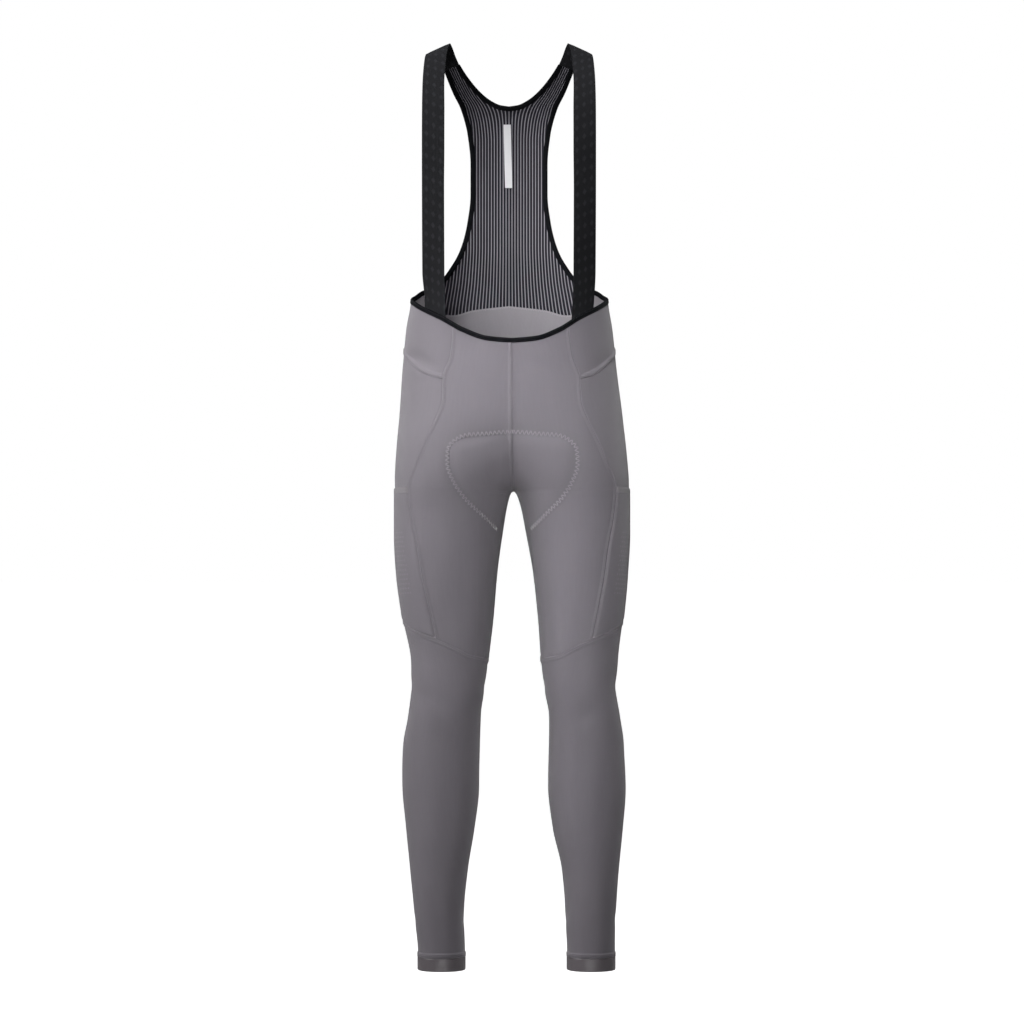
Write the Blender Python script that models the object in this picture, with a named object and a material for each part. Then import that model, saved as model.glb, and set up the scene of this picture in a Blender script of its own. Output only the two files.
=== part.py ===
"""Cycling cargo bib tights, hollow and filled out as when worn, one solid for each sewn piece.

All cloth lies on one hollow figure. Each leg is a tube of rounded sections, and above the
crotch the two tubes grow into each other until they are one torso. The panels are blocks of
one lattice drawn on that figure, whose lines follow the seams, so that neighbours share them.
Sizes are millimetres: X to the wearer's left, Y to the back, Z up from the shoulders.
"""

import bpy
import numpy as np

MM = 0.001

# cloth sizes
CLOTH_WALL = 1.5
MESH_WALL = 1.2
STRAP_WALL = 1.5
LABEL_WALL = 1.0
CUFF_WALL = 2.2
SEAM_GAP = 0.3
LAYER_GAP = 0.3
BINDING_END_PULL = 0.8
STRAP_INSET = 3.3
CUFF_RISE = 0.9

# heights of the straight seams, down from the shoulders
CUFF_TOP = -1407.5
CUFF_HEM = -1427.5
LABEL_TOP = -108.5
LABEL_LENGTH = 100.0
LABEL_WIDTH = 11.4
LABEL_TOP_X = -3.1
LABEL_FOOT_X = -0.6

# A section's corners lie between an ellipse (2) and a box (high).
SQUARENESS = 2.3

# The figure, one row for each section. The middle line's X, how far both sides drift over,
# half the outer width, the inner edge of the leg tube from the middle line (below zero the
# tubes overlap), the rounding where they meet, and the depth in front and behind.
SECTION_COLUMNS = ("height", "middle", "drift", "half_width", "inner", "fillet", "front", "back")
SECTIONS = (
    (0, 0.0, 0.0, 150.0, -150.0, 0, -60, 18),
    (-21, 0.0, 0.0, 150.0, -150.0, 0, -60, 46),
    (-29, 0.0, 0.0, 150.0, -150.0, 0, -60, 55),
    (-45, 0.0, 0.0, 150.0, -150.0, 0, -64, 72),
    (-63, 0.0, 0.0, 150.0, -150.0, 0, -72, 87),
    (-81, 0.0, 0.0, 150.0, -150.0, 0, -80, 96),
    (-102, 0.0, 0.0, 150.0, -150.0, 0, -88, 102),
    (-130, 0.0, 0.0, 150.0, -150.0, 0, -96, 105),
    (-172, 0.0, 0.0, 150.0, -150.0, 0, -104, 107),
    (-220, 0.0, 0.0, 150.0, -150.0, 0, -108, 105),
    (-267, 0.0, 0.0, 150.0, -150.0, 0, -108, 102),
    (-339, 0.0, 0.0, 150.0, -150.0, 0, -108, 97),
    (-394, 0.0, 0.8, 152.7, -152.7, 0, -108, 98),
    (-437, 3.5, -3.0, 159.7, -159.7, 0, -108, 104),
    (-490, 5.4, -4.6, 165.0, -150.0, 15, -112, 114),
    (-577, 5.6, -2.5, 173.6, -85.0, 22, -118, 126),
    (-620, 6.0, -2.4, 178.0, -42.0, 22, -116, 126),
    (-650, 6.3, -2.3, 180.4, -13.0, 19, -112, 122),
    (-670, 6.6, -2.2, 181.4, 2.0, 15, -108, 118),
    (-686, 6.8, -2.2, 181.4, 12.0, 12, -104, 114),
    (-695, 6.9, -2.2, 181.4, 14.0, 12, -102, 112),
    (-711, 7.2, -2.5, 181.4, 16.2, 11.5, -98, 107),
    (-753, 7.8, -3.1, 181.4, 21.2, 10, -92, 99),
    (-818, 9.3, -4.6, 178.0, 29.5, 7, -84, 92),
    (-884, 10.0, -3.9, 170.5, 35.6, 7, -74, 82),
    (-949, 8.5, 0.0, 160.4, 41.7, 7, -66, 66),
    (-992, 8.5, -1.5, 158.9, 46.3, 7, -62, 62),
    (-1035, 9.3, -1.5, 164.3, 53.2, 7, -56, 68),
    (-1079, 8.5, -1.5, 171.3, 53.9, 7, -50, 76),
    (-1144, 7.0, 0.8, 173.6, 53.9, 7, -46, 80),
    (-1209, 7.0, 1.5, 168.5, 60.9, 7, -44, 73),
    (-1274, 9.3, -0.8, 162.0, 73.2, 7, -42, 62),
    (-1339, 8.5, 0.8, 156.5, 78.7, 7, -41, 52),
    (-1404, 10.8, 0.8, 152.7, 79.4, 7, -40, 46),
    (-1434, 10.8, 0.8, 152.7, 79.4, 7, -40, 46),
)

# Seams that run round a half: turn 0 is the centre front or the inside leg, 0.5 the outer
# side, 1 the centre back or the inside leg again.
# Columns: turn, height.
TOP_EDGE = (
    (0.00, -461.5), (0.10, -458.0), (0.21, -444.0), (0.29, -425.5), (0.36, -412.5),
    (0.44, -400.5), (0.50, -396.0), (0.57, -390.0), (0.64, -379.5), (0.675, -391.0),
    (0.705, -409.0), (0.75, -410.0), (0.83, -402.0), (1.00, -395.0),
)
HIP_SEAM = (
    (0.00, -530.0), (0.27, -513.0), (0.40, -488.0), (0.50, -472.0), (0.64, -458.0),
    (0.80, -452.0), (1.00, -450.0),
)
CROTCH_LINE = ((0.00, -686.0), (0.32, -680.0), (0.50, -684.0), (0.64, -686.0), (1.00, -686.0))
KNEE_SEAM = (
    (0.00, -946.0), (0.08, -944.0), (0.174, -937.5), (0.222, -927.0), (0.285, -914.0),
    (0.40, -897.0), (0.50, -886.0), (0.62, -888.0), (0.75, -905.0), (0.88, -932.0),
    (1.00, -946.0),
)

# Seam down the front of the thigh, along the cargo pocket. Columns: height, and how far
# across from the middle line.
SIDE_FRONT_SEAM = (
    (-420, 89.0), (-435, 89.0), (-480, 93.5), (-513, 105.0), (-548, 106.5), (-581, 118.0),
    (-608, 131.5), (-644, 146.0), (-680, 159.5), (-725, 155.5), (-770, 147.0),
    (-820, 139.5), (-855, 132.5), (-912, 120.5), (-960, 112.0),
)
SIDE_BACK_TURN = 0.64

# Cloth edges of the mesh back under its bindings, one side. Columns: across, height.
ARMHOLE_EDGE = (
    (95.0, -27.0), (80.5, -60.5), (71.0, -78.5), (63.5, -100.5), (58.5, -122.0),
    (53.5, -172.0), (53.5, -220.0), (59.0, -268.0), (64.5, -292.5), (73.5, -317.5),
    (88.0, -342.0), (98.0, -355.5), (113.0, -368.0),
)
NECK_EDGE = (
    (0.0, -87.6), (16.0, -85.2), (33.0, -77.5), (46.5, -67.6), (56.5, -58.0), (65.0, -48.6),
    (75.0, -36.0), (84.0, -23.0),
)
STRAP_SEAM_OUTER = (101.0, -29.0)
STRAP_SEAM_INNER = (78.0, -21.0)

# Strap from the front waist over the shoulder. The foot lies inside the front panel, so it
# has no depth of its own. Columns: outer x and z, inner x and z.
STRAP_FOOT = ((132, -424, 98, -441), (132, -411, 98, -428), (132.5, -399, 98.5, -415))
# Columns: outer x, y and z, inner x, y and z.
STRAP_RUN = (
    (133, -72, -350, 99, -91, -357),
    (133, -86, -290, 99, -99, -294),
    (133, -94, -220, 99, -103, -222),
    (133, -95, -160, 98.5, -101, -162),
    (133, -87, -105, 98.5, -91, -106),
    (132.5, -70, -62, 99, -71, -62),
    (131, -46, -31, 97.5, -45, -27),
    (129.5, -22, -14.5, 94.5, -18, -1),
    (128, -2, -9.5, 91.5, 4, 8),
    (124, 14, -13, 88.5, 19, 3.5),
    (114, 30, -20.5, 84, 31, -8),
)

# how the lattice is divided between its seams
WAIST_TO_HIP = (0, 0.33, 0.67, 1)
HIP_TO_CROTCH = (0, 0.16, 0.32, 0.47, 0.60, 0.71, 0.81, 0.89, 0.95, 0.985, 1)
CROTCH_TO_KNEE = (0, 0.015, 0.04, 0.085, 0.15, 0.23, 0.32, 0.42, 0.53, 0.65, 0.77, 0.89, 1)
FRONT_COLUMNS = (0, 0.04, 0.12, 0.24, 0.38, 0.54, 0.70, 0.85, 1)
SIDE_COLUMNS = (0, 0.125, 0.25, 0.375, 0.5, 0.625, 0.75, 0.875, 1)
BACK_COLUMNS = (0, 0.16, 0.32, 0.48, 0.63, 0.77, 0.88, 0.96, 1)
LEG_ROWS = 16
BAND_ROWS = 2
MESH_ROWS_TO_NECK = 13
MESH_ROWS_ABOVE = 8
STRAP_STEPS = 26
STRAP_ACROSS = 3
LABEL_ROWS = 8
SETTLE_ROUNDS = 10
SPREAD_POWER = 0.8
SMALL_ANGLE = 1e-6

GREY_CLOTH = (0.19, 0.18, 0.195, 1.0)
CUFF_GREY = (0.14, 0.13, 0.145, 1.0)
BLACK_TRIM = (0.010, 0.011, 0.014, 1.0)
STRAP_BLACK = (0.022, 0.022, 0.025, 1.0)
MESH_NAVY = (0.055, 0.055, 0.07, 1.0)
LABEL_WHITE = (0.80, 0.80, 0.81, 1.0)
CLOTH_ROUGHNESS = 0.8
TRIM_ROUGHNESS = 0.6
CUFF_ROUGHNESS = 0.5
SHARP_ANGLE = np.radians(50)
NORMAL_NUDGE = 0.05


def smooth_curve(places, values):
    """A smooth curve through the points that never swings past them."""
    order = np.argsort(places)
    at = np.array(places, float)[order]
    value = np.array(values, float)[order]
    step = np.diff(at)
    rise = np.diff(value) / step
    slope = np.zeros(len(at))
    slope[0], slope[-1] = rise[0], rise[-1]
    before, after = rise[:-1], rise[1:]
    climbing = before * after > 0
    near, far = 2 * step[1:] + step[:-1], step[1:] + 2 * step[:-1]
    safe_before = np.where(climbing, before, 1)
    safe_after = np.where(climbing, after, 1)
    slope[1:-1] = np.where(climbing, (near + far) / (near / safe_before + far / safe_after), 0)

    def curve(place):
        place = np.clip(place, at[0], at[-1])
        i = np.clip(np.searchsorted(at, place) - 1, 0, len(at) - 2)
        t = (place - at[i]) / step[i]
        ease = t * t * (3 - 2 * t)
        bend_in = t * (1 - t) ** 2 * step[i]
        bend_out = t * t * (t - 1) * step[i]
        return (1 - ease) * value[i] + ease * value[i + 1] + bend_in * slope[i] + bend_out * slope[i + 1]

    return curve


def curve_from(table):
    places, values = zip(*table)
    return smooth_curve(places, values)


heights = [row[0] for row in SECTIONS]
section_curves = [
    smooth_curve(heights, [row[column] for row in SECTIONS])
    for column in range(1, len(SECTION_COLUMNS))
]
top_edge = curve_from(TOP_EDGE)
hip_seam = curve_from(HIP_SEAM)
crotch_line = curve_from(CROTCH_LINE)
knee_seam = curve_from(KNEE_SEAM)
side_front_seam = curve_from(SIDE_FRONT_SEAM)


def section(height):
    """The leg tube's rounded section at a height: its place, half sizes and fillet."""
    middle, drift, half_width, inner, fillet, front, back = [c(height) for c in section_curves]
    outer = np.hypot(half_width, fillet)
    return {
        "middle": middle,
        "drift": drift,
        "half_width": half_width,
        "fillet": fillet,
        "tube_x": (outer + inner) / 2,
        "reach_x": (outer - inner) / 2,
        "tube_y": (front + back) / 2,
        "reach_y": (back - front) / 2,
    }


def depth_at(ring, across):
    """How far the section reaches in Y from its tube's centre, at a place across."""
    folded = np.hypot(across, ring["fillet"])
    share = np.clip(np.abs(folded - ring["tube_x"]) / ring["reach_x"], 0, 1)
    return ring["reach_y"] * (1 - share ** SQUARENESS) ** (1 / SQUARENESS)


def start_angle(ring):
    """The angle, seen from the tube's centre, at which the half section begins."""
    return np.arctan2(depth_at(ring, 0.0), ring["tube_x"] - ring["fillet"])


def placed(ring, side, across, y, height):
    spread = (across / ring["half_width"]) ** 2
    x = ring["middle"] + side * across + ring["drift"] * spread
    return np.stack(np.broadcast_arrays(x, y, height), axis=-1)


def round_point(side, turn, height):
    """Point of the figure at a turn round one half."""
    ring = section(height)
    start = start_angle(ring)
    angle = start + turn * (2 * np.pi - 2 * start)
    cos, sin = np.cos(angle), np.sin(angle)
    reach = (
        np.abs(cos / ring["reach_x"]) ** SQUARENESS + np.abs(sin / ring["reach_y"]) ** SQUARENESS
    ) ** (-1 / SQUARENESS)
    folded = ring["tube_x"] - reach * cos
    across = np.sqrt(np.maximum(folded ** 2 - ring["fillet"] ** 2, 0))
    return placed(ring, side, across, ring["tube_y"] - reach * sin, height)


def flat_point(side, across, height, facing):
    """Point of the figure seen flat from the front (facing -1) or the back (facing 1)."""
    ring = section(height)
    y = ring["tube_y"] + facing * depth_at(ring, across)
    return placed(ring, side, across, y, height)


def front_turn(across, height):
    """The turn of a point on the front that lies so far across from the middle line."""
    ring = section(height)
    start = start_angle(ring)
    folded = np.hypot(across, ring["fillet"])
    angle = np.arctan2(depth_at(ring, across), ring["tube_x"] - folded)
    return (angle - start) / (2 * np.pi - 2 * start)


def outside(points):
    """Above 1 outside the figure and below 1 inside it."""
    ring = section(points[..., 2])
    offset = points[..., 0] - ring["middle"]
    across = np.abs(offset - ring["drift"] * (offset / ring["half_width"]) ** 2)
    folded = np.hypot(across, ring["fillet"])
    share_x = np.abs(folded - ring["tube_x"]) / ring["reach_x"]
    share_y = np.abs(points[..., 1] - ring["tube_y"]) / ring["reach_y"]
    return share_x ** SQUARENESS + share_y ** SQUARENESS


def unit(vectors):
    return vectors / np.linalg.norm(vectors, axis=-1, keepdims=True)


def outward(points):
    """Direction square to the figure's surface, away from the body."""
    slopes = []
    for nudge in NORMAL_NUDGE * np.eye(3):
        slopes.append(outside(points + nudge) - outside(points - nudge))
    return unit(np.stack(slopes, axis=-1))


def between(start, end, shares):
    return start + (end - start) * shares


# Lattice of one half, from the top edge down to the knee seam.
HIP_ROW = len(WAIST_TO_HIP) - 1
CROTCH_ROW = HIP_ROW + len(HIP_TO_CROTCH) - 1
KNEE_ROW = CROTCH_ROW + len(CROTCH_TO_KNEE) - 1
SIDE_COLUMN = len(FRONT_COLUMNS) - 1
BACK_COLUMN = SIDE_COLUMN + len(SIDE_COLUMNS) - 1
LAST_COLUMN = BACK_COLUMN + len(BACK_COLUMNS) - 1


def toward_middle(seam_angle, start, shares):
    """Angles from a seam to the middle line, where only the last ones follow the fillet."""
    power = np.clip(SPREAD_POWER * seam_angle / start, 1, 3)
    return seam_angle * shares + start * (1 - shares) ** power


def column_turns(height):
    """The turn of every column of the lattice, which lie along the seams down the leg."""
    start = np.maximum(start_angle(section(height)), SMALL_ANGLE)
    whole = 2 * np.pi - 2 * start
    seam = front_turn(side_front_seam(height), height)
    front = toward_middle(start + seam * whole, start, np.array(FRONT_COLUMNS))
    rear_seam = start + (1 - SIDE_BACK_TURN) * whole
    rear = toward_middle(rear_seam, start, 1 - np.array(BACK_COLUMNS[1:]))
    blocks = (
        (front - start) / whole,
        between(seam, SIDE_BACK_TURN, np.array(SIDE_COLUMNS[1:])),
        1 - (rear - start) / whole,
    )
    return np.concatenate(blocks, axis=-1)


def row_heights(turn):
    """The height of every row of the lattice, which lie along the seams round the body."""
    shares = [np.array(s)[:, None] for s in (WAIST_TO_HIP, HIP_TO_CROTCH[1:], CROTCH_TO_KNEE[1:])]
    edges = (top_edge, hip_seam, crotch_line, knee_seam)
    rows = []
    first = 0
    for upper, lower, share in zip(edges[:-1], edges[1:], shares):
        own = turn[first:first + len(share)]
        rows.append(between(upper(own), lower(own), share))
        first += len(share)
    return np.concatenate(rows, axis=0)


def settle_lattice():
    """Columns follow heights and rows follow turns, so a few rounds settle both."""
    turn = np.linspace(0, 1, LAST_COLUMN + 1)[None, :] + np.zeros((KNEE_ROW + 1, 1))
    for _ in range(SETTLE_ROUNDS):
        height = row_heights(turn)
        seam_height = height[:, SIDE_COLUMN:SIDE_COLUMN + 1]
        turn = column_turns(seam_height)
    return turn, row_heights(turn)


def pulled_in(grid):
    """The grid with each edge drawn in by half a seam gap."""
    pulled = grid.copy()
    for edge, inner in ((0, 1), (-1, -2)):
        pulled[edge] += unit(grid[inner] - grid[edge]) * SEAM_GAP / 2
    for edge, inner in ((0, 1), (-1, -2)):
        pulled[:, edge] += unit(grid[:, inner] - grid[:, edge]) * SEAM_GAP / 2
    return pulled


def off_the_middle(points, side):
    """Keeps one half's points on their own side of the middle line, half a gap away."""
    middle = section(points[..., 2])["middle"]
    across = np.maximum(side * (points[..., 0] - middle), SEAM_GAP / 2)
    kept = points.copy()
    kept[..., 0] = middle + side * across
    return kept


def grid_faces(rows, columns):
    """Triangles of a rows by columns wall: its outer skin, its inner skin and its rim."""
    count = rows * columns
    faces = []
    for i in range(rows - 1):
        for j in range(columns - 1):
            a = i * columns + j
            b, c, d = a + 1, a + columns + 1, a + columns
            faces += [(a, b, c), (a, c, d)]
            faces += [(count + a, count + c, count + b), (count + a, count + d, count + c)]
    rim = list(range(columns))
    rim += [i * columns + columns - 1 for i in range(1, rows)]
    rim += [(rows - 1) * columns + j for j in range(columns - 2, -1, -1)]
    rim += [i * columns for i in range(rows - 2, 0, -1)]
    for here, there in zip(rim, rim[1:] + rim[:1]):
        faces += [(here, count + here, count + there), (here, count + there, there)]
    return faces


def ring_faces(stations, corners):
    """Triangles of a bar whose section has so many corners, closed at both ends."""
    faces = []
    for i in range(stations - 1):
        for j in range(corners):
            a, b = i * corners + j, i * corners + (j + 1) % corners
            c, d = b + corners, a + corners
            faces += [(a, b, c), (a, c, d)]
    last = (stations - 1) * corners
    for j in range(1, corners - 1):
        faces += [(0, j + 1, j), (last, last + j, last + j + 1)]
    return faces


def add_piece(name, points, faces, colour, roughness):
    """A closed solid from points in millimetres, with its own plain finish."""
    mesh = bpy.data.meshes.new(name)
    mesh.from_pydata([tuple(p) for p in points * MM], [], faces)
    if signed_volume(points, faces) < 0:
        mesh.flip_normals()
    mesh.shade_smooth()
    mesh.set_sharp_from_angle(angle=SHARP_ANGLE)
    material = bpy.data.materials.new(name + "_finish")
    material.use_nodes = True
    surface = material.node_tree.nodes["Principled BSDF"]
    surface.inputs["Base Color"].default_value = colour
    surface.inputs["Roughness"].default_value = roughness
    surface.inputs["Metallic"].default_value = 0.0
    mesh.materials.append(material)
    piece = bpy.data.objects.new(name, mesh)
    bpy.context.scene.collection.objects.link(piece)
    return piece


def signed_volume(points, faces):
    corners = points[np.array(faces)]
    return np.einsum("ij,ij->i", corners[:, 0], np.cross(corners[:, 1], corners[:, 2])).sum()


def add_wall(name, outer, inner, colour, roughness):
    rows, columns = outer.shape[:2]
    points = np.concatenate([outer.reshape(-1, 3), inner.reshape(-1, 3)])
    return add_piece(name, points, grid_faces(rows, columns), colour, roughness)


def add_panel(name, grid, side, rise=0.0, wall=CLOTH_WALL, finish=(GREY_CLOTH, CLOTH_ROUGHNESS)):
    """A cloth panel whose outer skin stands so far off the figure."""
    base = pulled_in(grid)
    away = outward(base)
    outer = off_the_middle(base + away * rise, side)
    inner = off_the_middle(base + away * (rise - wall), side)
    return add_wall(name, outer, inner, *finish)


def add_legs_and_hips(side, letter, turn, height):
    """The grey panels of one half, cut from the lattice, with the pocket laid on the side."""
    grid = round_point(side, turn, height)
    front = slice(0, SIDE_COLUMN + 1)
    flank = slice(SIDE_COLUMN, BACK_COLUMN + 1)
    rear = slice(BACK_COLUMN, LAST_COLUMN + 1)
    add_panel("front_panel_" + letter, grid[:, front], side)
    add_panel("yoke_" + letter, grid[:HIP_ROW + 1, SIDE_COLUMN:], side)
    add_panel("side_panel_" + letter, grid[HIP_ROW:, flank], side)
    add_panel("back_panel_" + letter, grid[HIP_ROW:, rear], side)
    pocket_rise = CLOTH_WALL + LAYER_GAP
    band_end = CROTCH_ROW + BAND_ROWS
    add_panel("pocket_band_" + letter, grid[CROTCH_ROW:band_end + 1, flank], side, rise=pocket_rise)
    add_panel("pocket_" + letter, grid[band_end:, flank], side, rise=pocket_rise)

    shares = np.linspace(0, 1, LEG_ROWS + 1)[:, None]
    knee_turn, knee_height = turn[-1:], height[-1:]
    leg_turn = knee_turn + 0 * shares
    leg_grid = round_point(side, leg_turn, between(knee_height, CUFF_TOP, shares))
    add_panel("lower_leg_" + letter, leg_grid, side)
    ends = np.array([[CUFF_TOP], [CUFF_HEM]]) + 0 * knee_turn
    cuff_grid = round_point(side, knee_turn + 0 * ends, ends)
    cuff_finish = (CUFF_GREY, CUFF_ROUGHNESS)
    add_panel("cuff_" + letter, cuff_grid, side, CUFF_RISE, CUFF_WALL, cuff_finish)


def along_table(table, shares):
    """Points spread along a table's polyline by their share of its smooth length."""
    rows = np.array(table, float)
    length = np.concatenate([[0], np.cumsum(np.linalg.norm(np.diff(rows, axis=0), axis=1))])
    curves = [smooth_curve(length, rows[:, k]) for k in range(rows.shape[1])]
    places = np.array(shares) * length[-1]
    return np.stack([curve(places) for curve in curves], axis=-1)


def mesh_half(turn, height):
    """Across and height of the mesh back's lattice on one side, from its foot to the strap."""
    foot_turn, foot_height = turn[0, BACK_COLUMN:][::-1], height[0, BACK_COLUMN:][::-1]
    foot_points = round_point(1, foot_turn, foot_height)
    ring = section(foot_height)
    foot = np.stack([foot_points[:, 0] - ring["middle"], foot_height], axis=-1)
    foot[:, 0] -= ring["drift"] * (foot[:, 0] / ring["half_width"]) ** 2
    foot[0, 0] = 0.0
    columns = np.linspace(0, 1, len(foot))[:, None]
    up = np.linspace(0, 1, MESH_ROWS_TO_NECK + 1)[:, None]
    middle_line = between(foot[0], np.array(NECK_EDGE[0]), up)
    neck = along_table(NECK_EDGE, np.linspace(0, 1, MESH_ROWS_ABOVE + 1)[1:])
    inner = np.concatenate([middle_line, neck])
    armhole = np.concatenate([foot[-1:], ARMHOLE_EDGE[::-1]])
    outer = along_table(armhole, np.linspace(0, 1, len(inner)))
    top = between(inner[-1], outer[-1], columns)
    rise = np.linspace(0, 1, len(inner))[:, None, None]
    across = columns[None, :, :]
    grid = (1 - across) * inner[:, None] + across * outer[:, None]
    grid += (1 - rise) * foot[None] + rise * top[None]
    grid -= (1 - rise) * between(foot[0], foot[-1], columns)[None]
    grid -= rise * between(top[0], top[-1], columns)[None]
    return grid


def add_mesh_back(half):
    """The mesh back is one piece: one half, then its mirror image, sharing the middle line."""
    left = flat_point(1, half[..., 0], half[..., 1], 1)
    right = flat_point(-1, half[..., 0], half[..., 1], 1)
    rows, columns = half.shape[:2]
    left_base, right_base = pulled_in(left), pulled_in(right)
    joined = MESH_ROWS_TO_NECK + 1
    for base in (left_base, right_base):
        base[:joined, 0] = left[:joined, 0]
        base[0, 0, 2] += SEAM_GAP / 2
        base[MESH_ROWS_TO_NECK, 0, 2] -= SEAM_GAP / 2
    skins = []
    for depth in (0.0, MESH_WALL):
        for base in (left_base, right_base):
            skins.append((base - outward(base) * depth).reshape(-1, 3))
    points = np.concatenate(skins)
    count = rows * columns
    half_faces = np.array(grid_faces(rows, columns))
    own = {"left": (0, 2 * count), "right": (count, 3 * count)}
    faces = []
    for name, (outer_start, inner_start) in own.items():
        for face in half_faces:
            face = [outer_start + v if v < count else inner_start + v - count for v in face]
            on_middle = [(v % count) % columns == 0 and (v % count) // columns < joined for v in face]
            rim_face = any(v < 2 * count for v in face) and any(v >= 2 * count for v in face)
            if rim_face and all(on_middle):
                continue
            faces.append(tuple(face) if name == "left" else tuple(face[::-1]))
    shared = {}
    for i in range(joined):
        shared[count + i * columns] = i * columns
        shared[3 * count + i * columns] = 2 * count + i * columns
    faces = [tuple(shared.get(v, v) for v in face) for face in faces]
    used = sorted({v for face in faces for v in face})
    renumber = {v: k for k, v in enumerate(used)}
    faces = [tuple(renumber[v] for v in face) for face in faces]
    add_piece("mesh_back", points[used], faces, MESH_NAVY, CLOTH_ROUGHNESS)
    return left, right


# Section of a binding, folded over the cloth edge: out past the edge, and off the figure.
BINDING_SECTION = ((0.15, -2.2), (0.15, 0.35), (3.2, 0.7), (6.1, 0.35), (6.45, -0.9), (6.1, -2.2))


def add_binding(name, edge, outer_side):
    """A folded strip along a cloth edge, on the side of it that outer_side gives."""
    along = np.gradient(edge, axis=0)
    away = outward(edge)
    past = unit(np.cross(along, away)) * outer_side
    corners = [edge + past * reach + away * rise for reach, rise in BINDING_SECTION]
    points = np.stack(corners, axis=1)
    ends = unit(along[[0, -1]])
    points[0] += ends[0] * BINDING_END_PULL
    points[-1] -= ends[1] * BINDING_END_PULL
    faces = ring_faces(len(edge), len(BINDING_SECTION))
    add_piece(name, points.reshape(-1, 3), faces, BLACK_TRIM, TRIM_ROUGHNESS)


def add_bindings(turn, height, mesh_left, mesh_right):
    """One run down an armhole, round the side and across the waist; one round the neck."""
    runs = []
    for side, mesh in ((-1, mesh_right), (1, mesh_left)):
        waist = round_point(side, turn[0, :BACK_COLUMN + 1], height[0, :BACK_COLUMN + 1])
        runs.append(np.concatenate([mesh[::-1, -1], waist[::-1][1:]]))
    whole = np.concatenate([runs[0], runs[1][::-1][1:]])
    add_binding("edge_binding", whole, -1)
    neck_right = mesh_right[MESH_ROWS_TO_NECK:, 0][::-1]
    neck_left = mesh_left[MESH_ROWS_TO_NECK:, 0][1:]
    add_binding("neck_binding", np.concatenate([neck_right, neck_left]), 1)


def add_strap(side, letter):
    """A flat strap: its foot behind the front panel, its end at the mesh back."""
    rows = []
    for outer_x, outer_z, inner_x, inner_z in STRAP_FOOT:
        pair = []
        for x, z in ((outer_x, outer_z), (inner_x, inner_z)):
            middle = side * section(float(z))["middle"]
            on_form = flat_point(side, x - middle, float(z), -1)
            pair.append(on_form - outward(on_form) * STRAP_INSET)
        rows.append(np.concatenate(pair))
    for row in STRAP_RUN:
        rows.append(np.array(row, float) * np.array([side, 1, 1, side, 1, 1]))
    seam = [flat_point(side, x, z, 1) for x, z in (STRAP_SEAM_OUTER, STRAP_SEAM_INNER)]
    rows.append(np.concatenate(seam))
    spine = along_table(rows, np.linspace(0, 1, STRAP_STEPS + 1))
    outer_edge, inner_edge = spine[:, None, :3], spine[:, None, 3:]
    shares = np.linspace(0, 1, STRAP_ACROSS + 1)[None, :, None]
    grid = between(outer_edge, inner_edge, shares)
    along = np.gradient(grid, axis=0)
    across = np.gradient(grid, axis=1)
    away = unit(np.cross(across, along)) * -side
    end_pull = unit(grid[-1] - grid[-2]) * SEAM_GAP / 2
    grid[-1] -= end_pull
    add_wall("strap_" + letter, grid, grid - away * STRAP_WALL, STRAP_BLACK, TRIM_ROUGHNESS)


def add_label():
    """A plain label on the inside of the mesh back, leaning a little."""
    down = np.linspace(0, 1, LABEL_ROWS + 1)[:, None]
    sideways = np.array([-LABEL_WIDTH / 2, LABEL_WIDTH / 2])[None, :]
    x = between(LABEL_TOP_X, LABEL_FOOT_X, down) + sideways
    height = LABEL_TOP - LABEL_LENGTH * down + 0 * sideways
    base = flat_point(1, np.abs(x), height, 1)
    base[..., 0] = x
    away = outward(base)
    outer = base - away * (MESH_WALL + LAYER_GAP)
    add_wall("label", outer, outer - away * LABEL_WALL, LABEL_WHITE, TRIM_ROUGHNESS)


for old in list(bpy.data.objects):
    bpy.data.objects.remove(old, do_unlink=True)

lattice_turn, lattice_height = settle_lattice()
for body_side, side_letter in ((-1, "r"), (1, "l")):
    add_legs_and_hips(body_side, side_letter, lattice_turn, lattice_height)
    add_strap(body_side, side_letter)
mesh_left_grid, mesh_right_grid = add_mesh_back(mesh_half(lattice_turn, lattice_height))
add_bindings(lattice_turn, lattice_height, mesh_left_grid, mesh_right_grid)
add_label()
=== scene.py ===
"""Hollow cycling bib tights, filled out as when worn: grey knit hips and legs with cargo pockets
on the thighs, black shoulder straps, and a striped mesh back with black bindings."""

import bpy
import numpy as np
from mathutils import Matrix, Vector


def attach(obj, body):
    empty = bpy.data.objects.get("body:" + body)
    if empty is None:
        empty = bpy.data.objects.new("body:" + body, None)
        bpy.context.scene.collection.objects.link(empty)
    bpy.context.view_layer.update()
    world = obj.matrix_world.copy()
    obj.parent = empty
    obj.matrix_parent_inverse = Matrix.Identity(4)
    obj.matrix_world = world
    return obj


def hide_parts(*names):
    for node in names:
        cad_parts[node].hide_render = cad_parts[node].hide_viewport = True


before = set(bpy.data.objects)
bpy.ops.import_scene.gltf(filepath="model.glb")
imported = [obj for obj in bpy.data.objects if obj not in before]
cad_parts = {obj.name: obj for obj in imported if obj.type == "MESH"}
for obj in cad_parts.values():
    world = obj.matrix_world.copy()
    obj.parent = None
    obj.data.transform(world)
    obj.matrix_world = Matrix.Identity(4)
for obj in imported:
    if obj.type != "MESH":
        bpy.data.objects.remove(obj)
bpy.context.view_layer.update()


# The studio. A pale floor under the tights, a soft light high in front on the wearer's right,
# weaker ones round it, two broad ones behind, and a level camera a long way off.
FLOOR_HEIGHT = -1.56
FLOOR_REACH = 40.0
FLOOR_TONE = (0.45, 0.45, 0.45, 1)
FLOOR_GLOW = 1.0
SKY_GLOW = 0.03
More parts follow.
